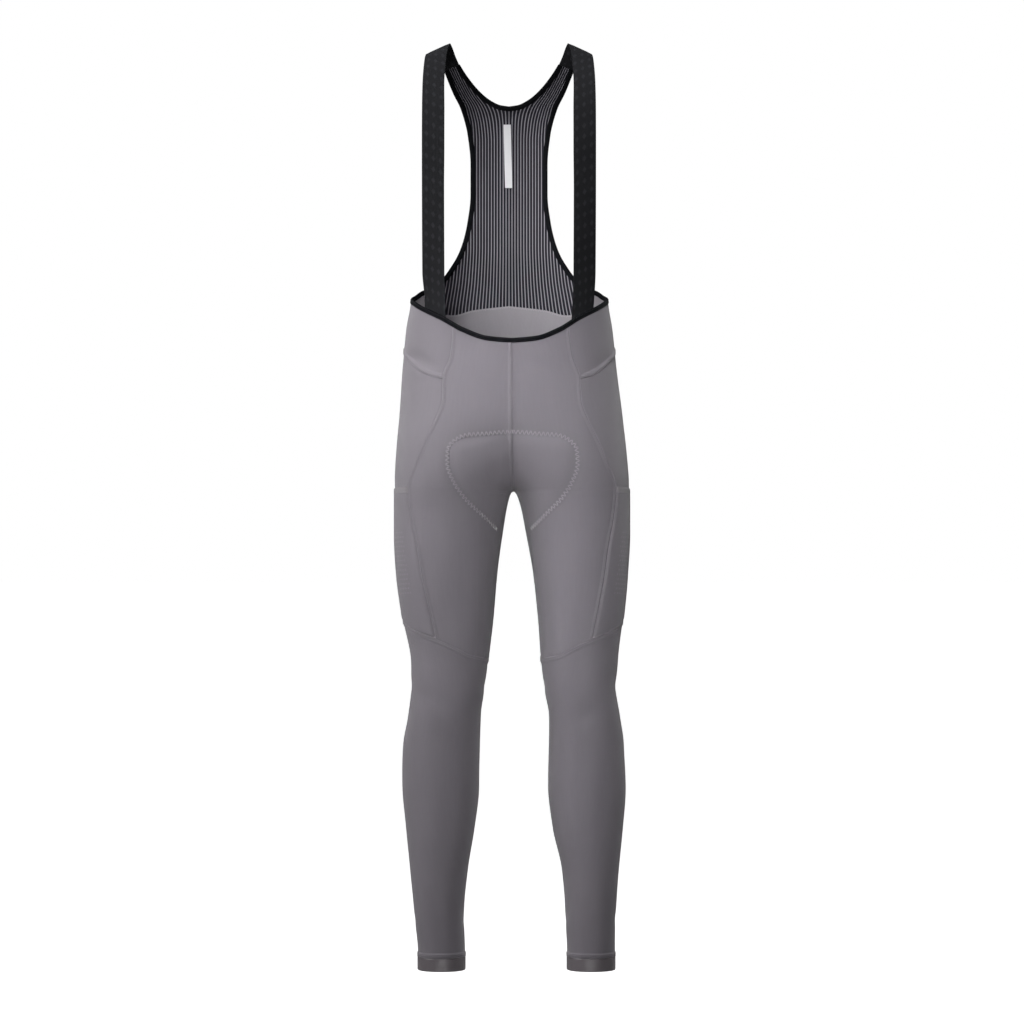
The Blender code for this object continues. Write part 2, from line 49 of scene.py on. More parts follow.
WHITE = (1, 1, 1, 1)
CAMERA_PLACE = (0.00465, -6.0, -0.7192)
CAMERA_LENS = 136.1
CAMERA_SENSOR = 36.0
# Columns: name, place, where it aims, width and height in metres, power in watts, spread in degrees.
STUDIO_LIGHTS = (
    ("key_light", (-1.7, -0.95, 0.3), (0.0, 0.0, -0.3), 0.6, 1.0, 9.4, 115),
    ("side_light", (-1.9, -0.35, 0.0), (0.0, 0.0, -0.5), 0.5, 1.2, 6.6, 120),
    ("top_light", (0.0, -0.6, 1.6), (0.0, 0.0, -0.4), 0.6, 0.6, 4.1, 60),
    ("hip_light", (-0.3, -1.9, 0.3), (0.0, 0.0, -0.48), 0.4, 0.4, 0.3, 26),
    ("left_leg_light", (-0.15, -2.0, -0.3), (0.16, 0.0, -0.75), 0.25, 0.9, 0.75, 26),
    ("low_front_light", (0.0, -1.3, -1.35), (0.0, 0.0, -0.65), 0.8, 0.3, 1.1, 90),
    ("left_side_light", (2.3, 1.5, 0.1), (0.0, 0.0, -0.6), 0.8, 1.4, 6.0, 150),
    ("rear_right_light", (-2.0, 2.6, 0.5), (0.0, 0.0, -0.6), 1.5, 2.2, 15.0, 180),
    ("rear_left_light", (2.2, 2.2, 0.5), (0.0, 0.0, -0.6), 1.5, 2.2, 15.0, 180),
)

scene = bpy.context.scene
scene.view_settings.view_transform = "Standard"


def add_object(name, data):
    added = bpy.data.objects.new(name, data)
    scene.collection.objects.link(added)
    return added


def feed(tree, node, inputs):
    """Feeds a node's inputs from plain values or from other nodes' outputs."""
    for socket, value in inputs.items():
        if isinstance(value, bpy.types.NodeSocket):
            tree.links.new(value, node.inputs[socket])
        else:
            node.inputs[socket].default_value = value


def add_node(tree, kind, inputs=None, **settings):
    """Adds a node with its settings and inputs, and gives its outputs."""
    node = tree.nodes.new(kind)
    for setting, value in settings.items():
        setattr(node, setting, value)
    feed(tree, node, inputs or {})
    return node.outputs


def new_material(name, inputs):
    """A material whose surface has these plain values, its node tree and its surface node."""
    material = bpy.data.materials.new(name)
    material.use_nodes = True
    surface = material.node_tree.nodes["Principled BSDF"]
    feed(material.node_tree, surface, inputs)
    return material, material.node_tree, surface


camera_data = bpy.data.cameras.new("camera")
camera_data.lens = CAMERA_LENS
camera_data.sensor_width = CAMERA_SENSOR
camera = add_object("camera", camera_data)
camera.location = CAMERA_PLACE
camera.rotation_euler = (np.pi / 2, 0, 0)
scene.camera = camera

for light_name, place, target, width, height, power, spread in STUDIO_LIGHTS:
    light_data = bpy.data.lights.new(light_name, "AREA")
    light_data.shape = "RECTANGLE"
    light_data.size, light_data.size_y = width, height
    light_data.energy = power
    light_data.spread = np.radians(spread)
    light = add_object(light_name, light_data)
    light.location = place
    light.rotation_euler = (Vector(target) - Vector(place)).to_track_quat("-Z", "Y").to_euler()
    light.visible_camera = False

# The camera sees a white sky, and the cloth gets only a little light from it.
scene.world = bpy.data.worlds.new("studio")
scene.world.use_nodes = True
sky = scene.world.node_tree
feed(sky, sky.nodes["Background"], {"Color": WHITE})
sky_light = add_node(sky, "ShaderNodeBackground", {"Color": WHITE, "Strength": SKY_GLOW})
sky_seen = add_node(sky, "ShaderNodeLightPath")["Is Camera Ray"]
sky_sides = {"Fac": sky_seen, 1: sky_light[0], 2: sky.nodes["Background"].outputs[0]}
sky_mix = add_node(sky, "ShaderNodeMixShader", sky_sides)
feed(sky, sky.nodes["World Output"], {"Surface": sky_mix[0]})

floor_mesh = bpy.data.meshes.new("floor")
floor_corners = [
    (x * FLOOR_REACH, y * FLOOR_REACH, FLOOR_HEIGHT) for x, y in ((-1, -1), (1, -1), (1, 1), (-1, 1))
]
floor_mesh.from_pydata(floor_corners, [], [(0, 1, 2, 3)])
floor = add_object("floor", floor_mesh)
floor_material, floor_tree, floor_surface = new_material("pale_floor", {
    "Base Color": FLOOR_TONE, "Roughness": 0.9, "Emission Color": WHITE,
})
floor_seen = add_node(floor_tree, "ShaderNodeLightPath")["Is Camera Ray"]
floor_glow = add_node(floor_tree, "ShaderNodeMapRange", {"Value": floor_seen, "To Max": FLOOR_GLOW})
feed(floor_tree, floor_surface, {"Emission Strength": floor_glow[0]})
floor_mesh.materials.append(floor_material)


# The two front panels, from the bound waist down to the knee seams. Each is one piece of grey
# brushed knit. They meet at the centre front seam, and their sides are the shaped seams that
# run down the front of the hip and along the cargo pocket.
MM = 0.001
HALVES = ((-1, "r"), (1, "l"))
CLOTH_WALL = 1.5
SEAM_LAP = 0.1
SQUARENESS = 2.3
SIDE_BACK_TURN = 0.64
SPREAD_POWER = 0.8
SMALL_ANGLE = 1e-6
NORMAL_NUDGE = 0.05
SETTLE_ROUNDS = 10

# The figure that the cloth lies on, in millimetres down from the shoulders, one row for each
# section: the middle line's X, the drift of both sides, half the outer width, the inner edge
# of the leg tube, the rounding between the legs, and the depth in front and behind.
# Over the waist only the depth changes. Columns: height, front, back.
OVER_THE_WAIST = (
    (0, -60, 18), (-21, -60, 46), (-29, -60, 55), (-45, -64, 72), (-63, -72, 87), (-81, -80, 96),
    (-102, -88, 102), (-130, -96, 105), (-172, -104, 107), (-220, -108, 105), (-267, -108, 102),
    (-339, -108, 97),
)
SECTIONS = (
    *((height, 0.0, 0.0, 150.0, -150.0, 0, front, back) for height, front, back in OVER_THE_WAIST),
    (-394, 0.0, 0.8, 152.7, -152.7, 0, -108, 98),
    (-437, 3.5, -3.0, 159.7, -159.7, 0, -108, 104),
    (-490, 5.4, -4.6, 165.0, -150.0, 15, -112, 114),
    (-577, 5.6, -2.5, 173.6, -85.0, 22, -118, 126),
    (-620, 6.0, -2.4, 178.0, -42.0, 22, -116, 126),
    (-650, 6.3, -2.3, 180.4, -13.0, 19, -112, 122),
    (-670, 6.6, -2.2, 181.4, 2.0, 15, -108, 118),
    (-686, 6.8, -2.2, 181.4, 12.0, 12, -104, 114),
    (-695, 6.9, -2.2, 181.4, 14.0, 12, -102, 112),
    (-711, 7.2, -2.5, 181.4, 16.2, 11.5, -98, 107),
    (-753, 7.8, -3.1, 181.4, 21.2, 10, -92, 99),
    (-818, 9.3, -4.6, 178.0, 29.5, 7, -84, 92),
    (-884, 10.0, -3.9, 170.5, 35.6, 7, -74, 82),
    (-949, 8.5, 0.0, 160.4, 41.7, 7, -66, 66),
    (-992, 8.5, -1.5, 158.9, 46.3, 7, -62, 62),
    (-1035, 9.3, -1.5, 164.3, 53.2, 7, -56, 68),
    (-1079, 8.5, -1.5, 171.3, 53.9, 7, -50, 76),
    (-1144, 7.0, 0.8, 173.6, 53.9, 7, -46, 80),
    (-1209, 7.0, 1.5, 168.5, 60.9, 7, -44, 73),
    (-1274, 9.3, -0.8, 162.0, 73.2, 7, -42, 62),
    (-1339, 8.5, 0.8, 156.5, 78.7, 7, -41, 52),
    (-1404, 10.8, 0.8, 152.7, 79.4, 7, -40, 46),
    (-1434, 10.8, 0.8, 152.7, 79.4, 7, -40, 46),
)

# Seams that run round a half. Columns: turn (0 centre front, 0.5 side, 1 centre back), height.
TOP_EDGE = (
    (0.00, -461.5), (0.10, -458.0), (0.21, -444.0), (0.29, -425.5), (0.36, -412.5),
    (0.44, -400.5), (0.50, -396.0), (0.57, -390.0), (0.64, -379.5), (0.675, -391.0),
    (0.705, -409.0), (0.75, -410.0), (0.83, -402.0), (1.00, -395.0),
)
HIP_SEAM = (
    (0.00, -530.0), (0.27, -513.0), (0.40, -488.0), (0.50, -472.0), (0.64, -458.0),
    (0.80, -452.0), (1.00, -450.0),
)
CROTCH_LINE = ((0.00, -686.0), (0.32, -680.0), (0.50, -684.0), (0.64, -686.0), (1.00, -686.0))
KNEE_SEAM = (
    (0.00, -946.0), (0.08, -944.0), (0.174, -937.5), (0.222, -927.0), (0.285, -914.0),
    (0.40, -897.0), (0.50, -886.0), (0.62, -888.0), (0.75, -905.0), (0.88, -932.0),
    (1.00, -946.0),
)
# The seam down the front of the thigh. Columns: height, across from the middle line.
SIDE_FRONT_SEAM = (
    (-420, 89.0), (-435, 89.0), (-480, 93.5), (-513, 105.0), (-548, 106.5), (-581, 118.0),
    (-608, 131.5), (-644, 146.0), (-680, 159.5), (-725, 155.5), (-770, 147.0),
    (-820, 139.5), (-855, 132.5), (-912, 120.5), (-960, 112.0),
)


def smooth_curve(places, values):
    """A smooth curve through the points that never swings past them."""
    order = np.argsort(places)
    at = np.array(places, float)[order]
    value = np.array(values, float)[order]
    step = np.diff(at)
    rise = np.diff(value) / step
    slope = np.zeros(len(at))
    slope[0], slope[-1] = rise[0], rise[-1]
    before, after = rise[:-1], rise[1:]
    climbing = before * after > 0
    near, far = 2 * step[1:] + step[:-1], step[1:] + 2 * step[:-1]
    safe_before = np.where(climbing, before, 1)
    safe_after = np.where(climbing, after, 1)
    slope[1:-1] = np.where(climbing, (near + far) / (near / safe_before + far / safe_after), 0)

    def curve(place):
        place = np.clip(place, at[0], at[-1])
        i = np.clip(np.searchsorted(at, place) - 1, 0, len(at) - 2)
        t = (place - at[i]) / step[i]
        ease = t * t * (3 - 2 * t)
        bend_in = t * (1 - t) ** 2 * step[i]
        bend_out = t * t * (t - 1) * step[i]
        return (1 - ease) * value[i] + ease * value[i + 1] + bend_in * slope[i] + bend_out * slope[i + 1]

    return curve


def curves_of(table):
    """A smooth curve for each column of a table, over the places in its first column."""
    places, *columns = zip(*table)
    return [smooth_curve(places, column) for column in columns]


section_curves = curves_of(SECTIONS)
side_front_seam = curves_of(SIDE_FRONT_SEAM)[0]
round_seams = [curves_of(table)[0] for table in (TOP_EDGE, HIP_SEAM, CROTCH_LINE, KNEE_SEAM)]


def section(height):
    """The leg tube's rounded section at a height: its place, half sizes and fillet."""
    middle, drift, half_width, inner, fillet, front, back = [c(height) for c in section_curves]
    outer = np.hypot(half_width, fillet)
    return {
        "middle": middle, "drift": drift, "half_width": half_width, "fillet": fillet,
        "tube_x": (outer + inner) / 2, "reach_x": (outer - inner) / 2,
        "tube_y": (front + back) / 2, "reach_y": (back - front) / 2,
    }


def depth_at(ring, across):
    """How far the section reaches in Y from its tube's centre, at a place across."""
    folded = np.hypot(across, ring["fillet"])
    share = np.clip(np.abs(folded - ring["tube_x"]) / ring["reach_x"], 0, 1)
    return ring["reach_y"] * (1 - share ** SQUARENESS) ** (1 / SQUARENESS)


def start_angle(ring):
    """The angle, seen from the tube's centre, at which the half section begins."""
    return np.arctan2(depth_at(ring, 0.0), ring["tube_x"] - ring["fillet"])


def placed(ring, side, across, y, height):
    spread = (across / ring["half_width"]) ** 2
    x = ring["middle"] + side * across + ring["drift"] * spread
    return np.stack(np.broadcast_arrays(x, y, height), axis=-1)


def round_point(side, turn, height):
    """Point of the figure at a turn round one half."""
    ring = section(height)
    start = start_angle(ring)
    angle = start + turn * (2 * np.pi - 2 * start)
    cos, sin = np.cos(angle), np.sin(angle)
    reach = (
        np.abs(cos / ring["reach_x"]) ** SQUARENESS + np.abs(sin / ring["reach_y"]) ** SQUARENESS
    ) ** (-1 / SQUARENESS)
    folded = ring["tube_x"] - reach * cos
    across = np.sqrt(np.maximum(folded ** 2 - ring["fillet"] ** 2, 0))
    return placed(ring, side, across, ring["tube_y"] - reach * sin, height)


def flat_point(side, across, height, facing):
    """Point of the figure seen flat from the front (facing -1) or the back (facing 1)."""
    ring = section(height)
    y = ring["tube_y"] + facing * depth_at(ring, across)
    return placed(ring, side, across, y, height)


def front_turn(across, height):
    """The turn of a point on the front that lies so far across from the middle line."""
    ring = section(height)
    start = start_angle(ring)
    folded = np.hypot(across, ring["fillet"])
    angle = np.arctan2(depth_at(ring, across), ring["tube_x"] - folded)
    return (angle - start) / (2 * np.pi - 2 * start)


def outside(points):
    """Above 1 outside the figure and below 1 inside it."""
    ring = section(points[..., 2])
    offset = points[..., 0] - ring["middle"]
    across = np.abs(offset - ring["drift"] * (offset / ring["half_width"]) ** 2)
    folded = np.hypot(across, ring["fillet"])
    share_x = np.abs(folded - ring["tube_x"]) / ring["reach_x"]
    share_y = np.abs(points[..., 1] - ring["tube_y"]) / ring["reach_y"]
    return share_x ** SQUARENESS + share_y ** SQUARENESS


def unit(vectors):
    return vectors / np.maximum(np.linalg.norm(vectors, axis=-1, keepdims=True), 1e-9)


def outward(points):
    """Direction square to the figure's surface, away from the body."""
    slopes = []
    for nudge in NORMAL_NUDGE * np.eye(3):
        slopes.append(outside(points + nudge) - outside(points - nudge))
    return unit(np.stack(slopes, axis=-1))


def between(start, end, shares):
    return start + (end - start) * shares


def soft_step(value):
    value = np.clip(value, 0, 1)
    return value * value * (3 - 2 * value)


# Places beside a seam, near enough to each other to round its fold.
SEAM_SPACING = (0, 0.5, 1.0, 1.6, 2.4, 3.4, 4.6, 5.8, 6.8, 7.8, 9.2, 11.2)


def fine_shares(length, step):
    """Shares of a length, close together at both ends, where seams are sewn."""
    near_seam = np.array(SEAM_SPACING)
    middle = np.linspace(near_seam[-1], length - near_seam[-1], int(length / step) + 1)
    return np.concatenate([near_seam[:-1], middle, length - near_seam[-2::-1]]) / length


# Shares of the lattice that all the panels are cut from, at about the pieces' real lengths.
CLOTH_STEP = 4.2
front_shares = fine_shares(165, CLOTH_STEP)
side_shares = fine_shares(150, CLOTH_STEP)
back_shares = fine_shares(170, CLOTH_STEP)
row_shares = [fine_shares(length, CLOTH_STEP) for length in (62, 205, 245)]
HIP_ROW = len(row_shares[0]) - 1
CROTCH_ROW = HIP_ROW + len(row_shares[1]) - 1
KNEE_ROW = CROTCH_ROW + len(row_shares[2]) - 1
SIDE_COLUMN = len(front_shares) - 1
BACK_COLUMN = SIDE_COLUMN + len(side_shares) - 1
LAST_COLUMN = BACK_COLUMN + len(back_shares) - 1


def toward_middle(seam_angle, start, shares):
    """Angles from a seam to the middle line, where only the last ones follow the fillet."""
    power = np.clip(SPREAD_POWER * seam_angle / start, 1, 3)
    return seam_angle * shares + start * (1 - shares) ** power


def column_turns(height):
    """The turn of every column of the lattice, which lie along the seams down the leg."""
    start = np.maximum(start_angle(section(height)), SMALL_ANGLE)
    whole = 2 * np.pi - 2 * start
    seam = front_turn(side_front_seam(height), height)
    front = toward_middle(start + seam * whole, start, front_shares)
    rear_seam = start + (1 - SIDE_BACK_TURN) * whole
    rear = toward_middle(rear_seam, start, 1 - back_shares[1:])
    flank = between(seam, SIDE_BACK_TURN, side_shares[1:])
    return np.concatenate([(front - start) / whole, flank, 1 - (rear - start) / whole], axis=-1)


def row_heights(turn):
    """The height of every row of the lattice, which lie along the seams round the body."""
    rows = []
    first = 0
    for upper, lower, shares in zip(round_seams[:-1], round_seams[1:], row_shares):
        shares = shares[:, None] if first == 0 else shares[1:, None]
        own = turn[first:first + len(shares)]
        rows.append(between(upper(own), lower(own), shares))
        first += len(shares)
    return np.concatenate(rows, axis=0)


lattice_turn = np.linspace(0, 1, LAST_COLUMN + 1)[None, :] + np.zeros((KNEE_ROW + 1, 1))
for _ in range(SETTLE_ROUNDS):
    lattice_height = row_heights(lattice_turn)
    lattice_turn = column_turns(lattice_height[:, SIDE_COLUMN:SIDE_COLUMN + 1])
lattice_height = row_heights(lattice_turn)

# The pad that is sewn inside shows as a soft swelling within its stitch line. Outline of one
# side in front and behind. Columns: across from the middle line, height.
PAD_FRONT = (
    (0.0, -597.0), (18.0, -598.0), (37.0, -600.0), (68.0, -602.0), (87.0, -610.0),
    (98.0, -624.0), (99.0, -646.0), (90.0, -673.0), (72.0, -700.0), (50.0, -722.0), (27.0, -745.0),
)
PAD_BACK = (
    (0.0, -566.0), (30.0, -568.0), (62.0, -577.0), (86.0, -597.0), (97.0, -626.0),
    (95.0, -660.0), (82.0, -694.0), (60.0, -722.0), (34.0, -748.0),
)
PAD_LINE_POINTS = 60
PAD_SWELL, PAD_SWELL_REACH = 1.8, 20
PAD_PULL, PAD_PULL_REACH = 0.5, 8.0
# The pad is thickest low down in the middle, where it pushes the cloth out most.
PAD_PUFF = 5.0
PAD_PUFF_PLACE = (10.0, -672.0)
PAD_PUFF_REACH = (32.0, 42.0)

# Soft folds, by the side they are seen from. Columns: where each begins and ends
# (sideways and height), half width, and height over the cloth, where below zero is a trough.
CREASES = {
    "front": (
        (-160, -474, -112, -499, 10, -2.6), (-158, -494, -122, -512, 11, 1.2),
        (162, -480, 124, -504, 11, -1.8), (88, -470, 96, -640, 22, -0.9),
        (-100, -560, -150, -640, 16, 0.7), (-10, -640, -34, -668, 9, -1.4),
        (26, -642, 48, -672, 10, -1.2), (-14, -655, -12, -625, 7, 1.2),
        (6, -615, 8, -668, 5, -1.1), (-44, -676, -84, -700, 12, -1.0),
        (58, -678, 98, -706, 13, -0.8), (-62, -740, -70, -905, 13, -0.9),
        (-95, -730, -104, -880, 15, 0.7), (62, -745, 74, -915, 14, -0.8),
        (100, -735, 112, -885, 15, 0.7), (-146, -985, -92, -1032, 13, -1.8),
        (-138, -1015, -78, -1048, 11, 1.3), (-60, -965, -96, -990, 12, -0.9),
        (150, -1012, 84, -1052, 13, -1.8), (142, -1046, 82, -1074, 11, 1.3),
        (70, -968, 108, -996, 12, -0.9), (-108, -1070, -112, -1220, 15, 0.7),
        (-84, -1080, -96, -1260, 12, -0.8), (122, -1075, 124, -1230, 15, 0.6),
        (148, -1090, 142, -1260, 12, -0.8), (-118, -1300, -104, -1338, 9, -0.7),
        (130, -1310, 112, -1346, 9, -0.7), (-126, -1345, -98, -1372, 8, -0.6),
        (136, -1352, 108, -1380, 8, -0.6),
    ),
    "back": (
        (-30, -742, -120, -716, 15, -2.2), (46, -742, 136, -716, 15, -2.2),
        (-40, -765, -110, -748, 12, 0.9), (56, -765, 126, -748, 12, 0.9),
        (-46, -985, -132, -1000, 10, -2.4), (62, -985, 148, -1000, 10, -2.4),
        (-60, -1006, -138, -1022, 9, 1.4), (76, -1006, 154, -1022, 9, 1.4),
        (-56, -962, -120, -972, 9, -1.5), (72, -962, 136, -974, 9, -1.5),
        (-104, -1240, -100, -1340, 14, -0.8), (122, -1240, 118, -1340, 14, -0.8),
    ),
    "right": (
        (-50, -975, 40, -1000, 11, -1.3), (-30, -1330, 20, -1362, 9, -0.8),
    ),
    "left": (
        (-50, -975, 40, -1000, 11, -1.3), (-30, -1330, 20, -1362, 9, -0.8),
    ),
}
SEEN_FROM = {"front": (0, (0, -1)), "back": (0, (0, 1)), "right": (1, (-1, 0)), "left": (1, (1, 0))}
FOLD_FADE = 0.42


def crease_relief(points, away):
    """Height of the folds over the smooth cloth."""
    relief = np.zeros(points.shape[:-1])
    for seen, folds in CREASES.items():
        axis, facing = SEEN_FROM[seen]
        turned = np.clip(2 * (away[..., 0] * facing[0] + away[..., 1] * facing[1]), 0, 1)
        for start, start_height, end, end_height, half_width, rise in folds:
            run = np.array([end - start, end_height - start_height], float)
            offset = points[..., (axis, 2)] - np.array([start, start_height])
            share = offset @ run / (run @ run)
            aside = (offset[..., 0] * run[1] - offset[..., 1] * run[0]) / np.linalg.norm(run)
            fade = np.exp(-((share - 0.5) / FOLD_FADE) ** 4)
            relief += rise * turned * fade * np.exp(-(aside / half_width) ** 2)
    return relief


def run_lengths(points, axis=0):
    """How far each point lies from the start of its line of points."""
    steps = np.linalg.norm(np.diff(points, axis=axis), axis=-1)
    return np.cumsum(np.insert(steps, 0, 0, axis=axis), axis=axis)


def along_table(table, count):
    """Points spread evenly along the smooth line through a table's rows."""
    rows = np.array(table, float)
    length = run_lengths(rows)
    places = np.linspace(0, 1, count) * length[-1]
    return np.stack([smooth_curve(length, column)(places) for column in rows.T], axis=-1)


def pad_relief(points, away):
    """The pad's swelling, drawn down along its stitch line."""
    relief = np.zeros(points.shape[:-1])
    across = np.abs(points[..., 0] - section(points[..., 2])["middle"])
    for table, facing in ((PAD_FRONT, -1), (PAD_BACK, 1)):
        line = along_table(table, PAD_LINE_POINTS)
        offsets = np.stack([across, points[..., 2]], axis=-1)[..., None, :] - line
        distance = np.linalg.norm(offsets, axis=-1).min(axis=-1)
        edge = np.interp(-points[..., 2], -line[:, 1], line[:, 0], left=0, right=0)
        below_top = points[..., 2] < line[0, 1]
        above_foot = points[..., 2] > line[-1, 1]
        inside = (across < edge) & below_top & above_foot
        turned = np.clip(3 * away[..., 1] * facing, 0, 1)
        swell = np.where(inside, PAD_SWELL * soft_step(distance / PAD_SWELL_REACH), 0)
        pull = PAD_PULL * np.exp(-(distance / PAD_PULL_REACH) ** 2)
        aside = (across - PAD_PUFF_PLACE[0]) / PAD_PUFF_REACH[0]
        above = (points[..., 2] - PAD_PUFF_PLACE[1]) / PAD_PUFF_REACH[1]
        puff = PAD_PUFF * np.exp(-aside ** 2 - above ** 2)
        relief += turned * (swell - pull + puff)
    return relief


def edge_distances(grid):
    """How far each point of a panel lies from its top, bottom, first and last edges."""
    down, over = run_lengths(grid), run_lengths(grid, axis=1)
    return {"top": down, "bottom": down[-1:] - down, "first": over, "last": over[:, -1:] - over}


# A sewn-down edge, such as a pocket's, comes down to the cloth under it over this width.
SEWN_DOWN_WIDTH = 5.0
SEWN_DOWN_EDGE = 0.5

# A turned seam has both raw edges folded under the cloth on one side, held by two rows of
# stitches. The other side of the seam lies flat. A shallow groove runs along the join.
SEAM_GROOVE, SEAM_GROOVE_WIDTH = 0.4, 1.1
FOLD_START, FOLD_END = 1.3, 1.6
STITCH_DENT, STITCH_DENT_WIDTH = 0.25, 0.7
# Seams that run across, such as the knee seam, are wider and stand up more than those that run
# down. Columns: width of the folded edge, and its rise.
CROSS_SEAM = (6.4, 1.1)
LONG_SEAM = (4.6, 0.85)
# The two rows of stitches lie at these shares of the folded edge's width.
STITCH_ROWS = (0.26, 0.8)


def seam_size(edge):
    return CROSS_SEAM if edge in ("top", "bottom") else LONG_SEAM


def seam_relief(distance, edge, turned):
    groove = -SEAM_GROOVE * (1 - soft_step(distance / SEAM_GROOVE_WIDTH))
    if not turned:
        return groove
    width, rise = seam_size(edge)
    fold = soft_step(distance / FOLD_START) * (1 - soft_step((distance - width) / FOLD_END))
    rows = sum(np.exp(-((distance - row * width) / STITCH_DENT_WIDTH) ** 2) for row in STITCH_ROWS)
    return groove + rise * fold - STITCH_DENT * rows * fold


def pushed_out(grid):
    """The grid with each edge pushed out by half a seam lap, so that no light comes through."""
    pushed = grid.copy()
    for edge, inner in ((0, 1), (-1, -2)):
        pushed[edge] -= unit(grid[inner] - grid[edge]) * SEAM_LAP / 2
        pushed[:, edge] -= unit(grid[:, inner] - grid[:, edge]) * SEAM_LAP / 2
    return pushed


def off_the_middle(points, side):
    """Keeps one half's points on their own side of the middle line, but for half a lap."""
    middle = section(points[..., 2])["middle"]
    across = np.maximum(side * (points[..., 0] - middle), -SEAM_LAP / 2)
    kept = points.copy()
    kept[..., 0] = middle + side * across
    return kept


def wall_faces(rows, columns):
    """Quads of a rows by columns wall: its outer skin, its inner skin and its rim."""
    count = rows * columns
    grid = np.arange(count).reshape(rows, columns)
    corner = grid[:-1, :-1].ravel()
    skin = np.stack([corner, corner + 1, corner + columns + 1, corner + columns], axis=1)
    here = np.concatenate([grid[0], grid[1:, -1], grid[-1, -2::-1], grid[-2:0:-1, 0]])
    there = np.roll(here, -1)
    edge = np.stack([here, here + count, there + count, there], axis=1)
    return np.concatenate([skin, skin[:, ::-1] + count, edge])


def add_mesh_piece(name, points, faces, uv, materials, inside=None, sharp_angle=50):
    """A closed piece from points in millimetres, with the cloth's own lengths as its UV map.
    The faces from inside[0] to inside[1] take the second finish, that of the wrong side, a pale fleece
    painted paler still to stand in for light falling inside."""
    quads = np.array(faces)
    corners = points[quads]
    twist = np.cross(corners[:, 1] - corners[:, 0], corners[:, 2] - corners[:, 0])
    twist += np.cross(corners[:, 2] - corners[:, 0], corners[:, 3] - corners[:, 0])
    if np.einsum("ij,ij->i", corners.mean(axis=1), twist).sum() < 0:
        quads = quads[:, ::-1]
    mesh = bpy.data.meshes.new(name)
    mesh.from_pydata((points * MM).tolist(), [], quads.tolist())
    layer = mesh.uv_layers.new(name="cloth")
    layer.data.foreach_set("uv", uv[quads.ravel()].astype(np.float32).ravel())
    mesh.shade_smooth()
    mesh.set_sharp_from_angle(angle=np.radians(sharp_angle))
    for material in materials:
        mesh.materials.append(material)
    if inside:
        finish = np.zeros(len(quads), dtype=np.int32)
        finish[inside[0]:inside[1]] = 1
        mesh.polygons.foreach_set("material_index", finish)
    return add_object(name, mesh)


def add_wall(name, outer, inner, uv, *materials):
    rows, columns = outer.shape[:2]
    points = np.concatenate([outer.reshape(-1, 3), inner.reshape(-1, 3)])
    twice = np.concatenate([uv.reshape(-1, 2), uv.reshape(-1, 2)])
    skin = (rows - 1) * (columns - 1)
    inside = (skin, 2 * skin) if len(materials) > 1 else None
    return add_mesh_piece(name, points, wall_faces(rows, columns), twice, materials, inside)


seam_guides = []


def guide_along(outer, away, edge, inset):
    """A stitch line on a panel that keeps so far from one of its edges."""
    turned = {
        "first": lambda grid: grid,
        "last": lambda grid: grid[:, ::-1],
        "top": lambda grid: grid.transpose(1, 0, 2),
        "bottom": lambda grid: grid[::-1].transpose(1, 0, 2),
    }[edge]
    cloth, lift = turned(outer), turned(away)
    far = run_lengths(cloth, axis=1)
    row = np.arange(len(far))
    after = np.array([np.searchsorted(line, inset) for line in far])
    share = ((inset - far[row, after - 1]) / (far[row, after] - far[row, after - 1]))[:, None]
    points = between(cloth[row, after - 1], cloth[row, after], share)
    return points, lift[row, after]


def add_panel(
    name, grid, side, material, turned=(), rise=0.0, wall=CLOTH_WALL, plain=False, sewn_down=(),
):
    """A cloth panel on the figure with its folds and seams, and guides for its stitches."""
    base = off_the_middle(pushed_out(grid), side)
    away = outward(base)
    folds = 0 * base[..., 0]
    if not plain:
        folds = crease_relief(base, away) + pad_relief(base, away)
    distances = edge_distances(base)
    seams = sum(seam_relief(distances[edge], edge, edge in turned) for edge in distances)
    for edge in sewn_down:
        seams = seams - (rise - SEWN_DOWN_EDGE) * (1 - soft_step(distances[edge] / SEWN_DOWN_WIDTH))
    outer = off_the_middle(base + away * (rise + folds + seams)[..., None], side)
    inner = off_the_middle(base + away * (rise + folds - wall)[..., None], side)
    for edge in turned:
        for row in STITCH_ROWS:
            seam_guides.append(guide_along(outer, away, edge, row * seam_size(edge)[0]))
    middle_column = grid.shape[1] // 2
    over, down = distances["first"], distances["top"]
    uv = np.stack([over - over[:, middle_column:middle_column + 1], -down], axis=-1) * MM
    return add_wall(name, outer, inner, uv, material, lit_fleece_inside)


def math_in(tree):
    """A maker of Math nodes in this tree, each fed by outputs or plain numbers."""
    def add_math(operation, *values):
        return add_node(tree, "ShaderNodeMath", dict(enumerate(values)), operation=operation)[0]

    return add_math


def new_group(name, inputs, outputs, kind="ShaderNodeTree"):
    """An empty node group with named inputs and outputs."""
    group = bpy.data.node_groups.new(name, kind)
    for socket_name, socket_kind, value in inputs:
        socket = group.interface.new_socket(socket_name, in_out="INPUT", socket_type=socket_kind)
        if value is not None:
            socket.default_value = value
    for socket_name, socket_kind in outputs:
        group.interface.new_socket(socket_name, in_out="OUTPUT", socket_type=socket_kind)
    return group, group.nodes.new("NodeGroupInput").outputs, group.nodes.new("NodeGroupOutput").inputs


def mix_colours(tree, share, first, second, blend="MIX"):
    """The outcome of a Mix node with two colours, where a share of 1 gives the second."""
    sides = {"Factor": share, 6: first, 7: second}
    return add_node(tree, "ShaderNodeMix", sides, data_type="RGBA", blend_type=blend)[2]


def cloth_places(tree):
    """A place on the cloth in metres, whole and as its parts across and up."""
    place = add_node(tree, "ShaderNodeUVMap", uv_map="cloth")[0]
    parts = add_node(tree, "ShaderNodeSeparateXYZ", {0: place})
    return place, parts[0], parts[1]


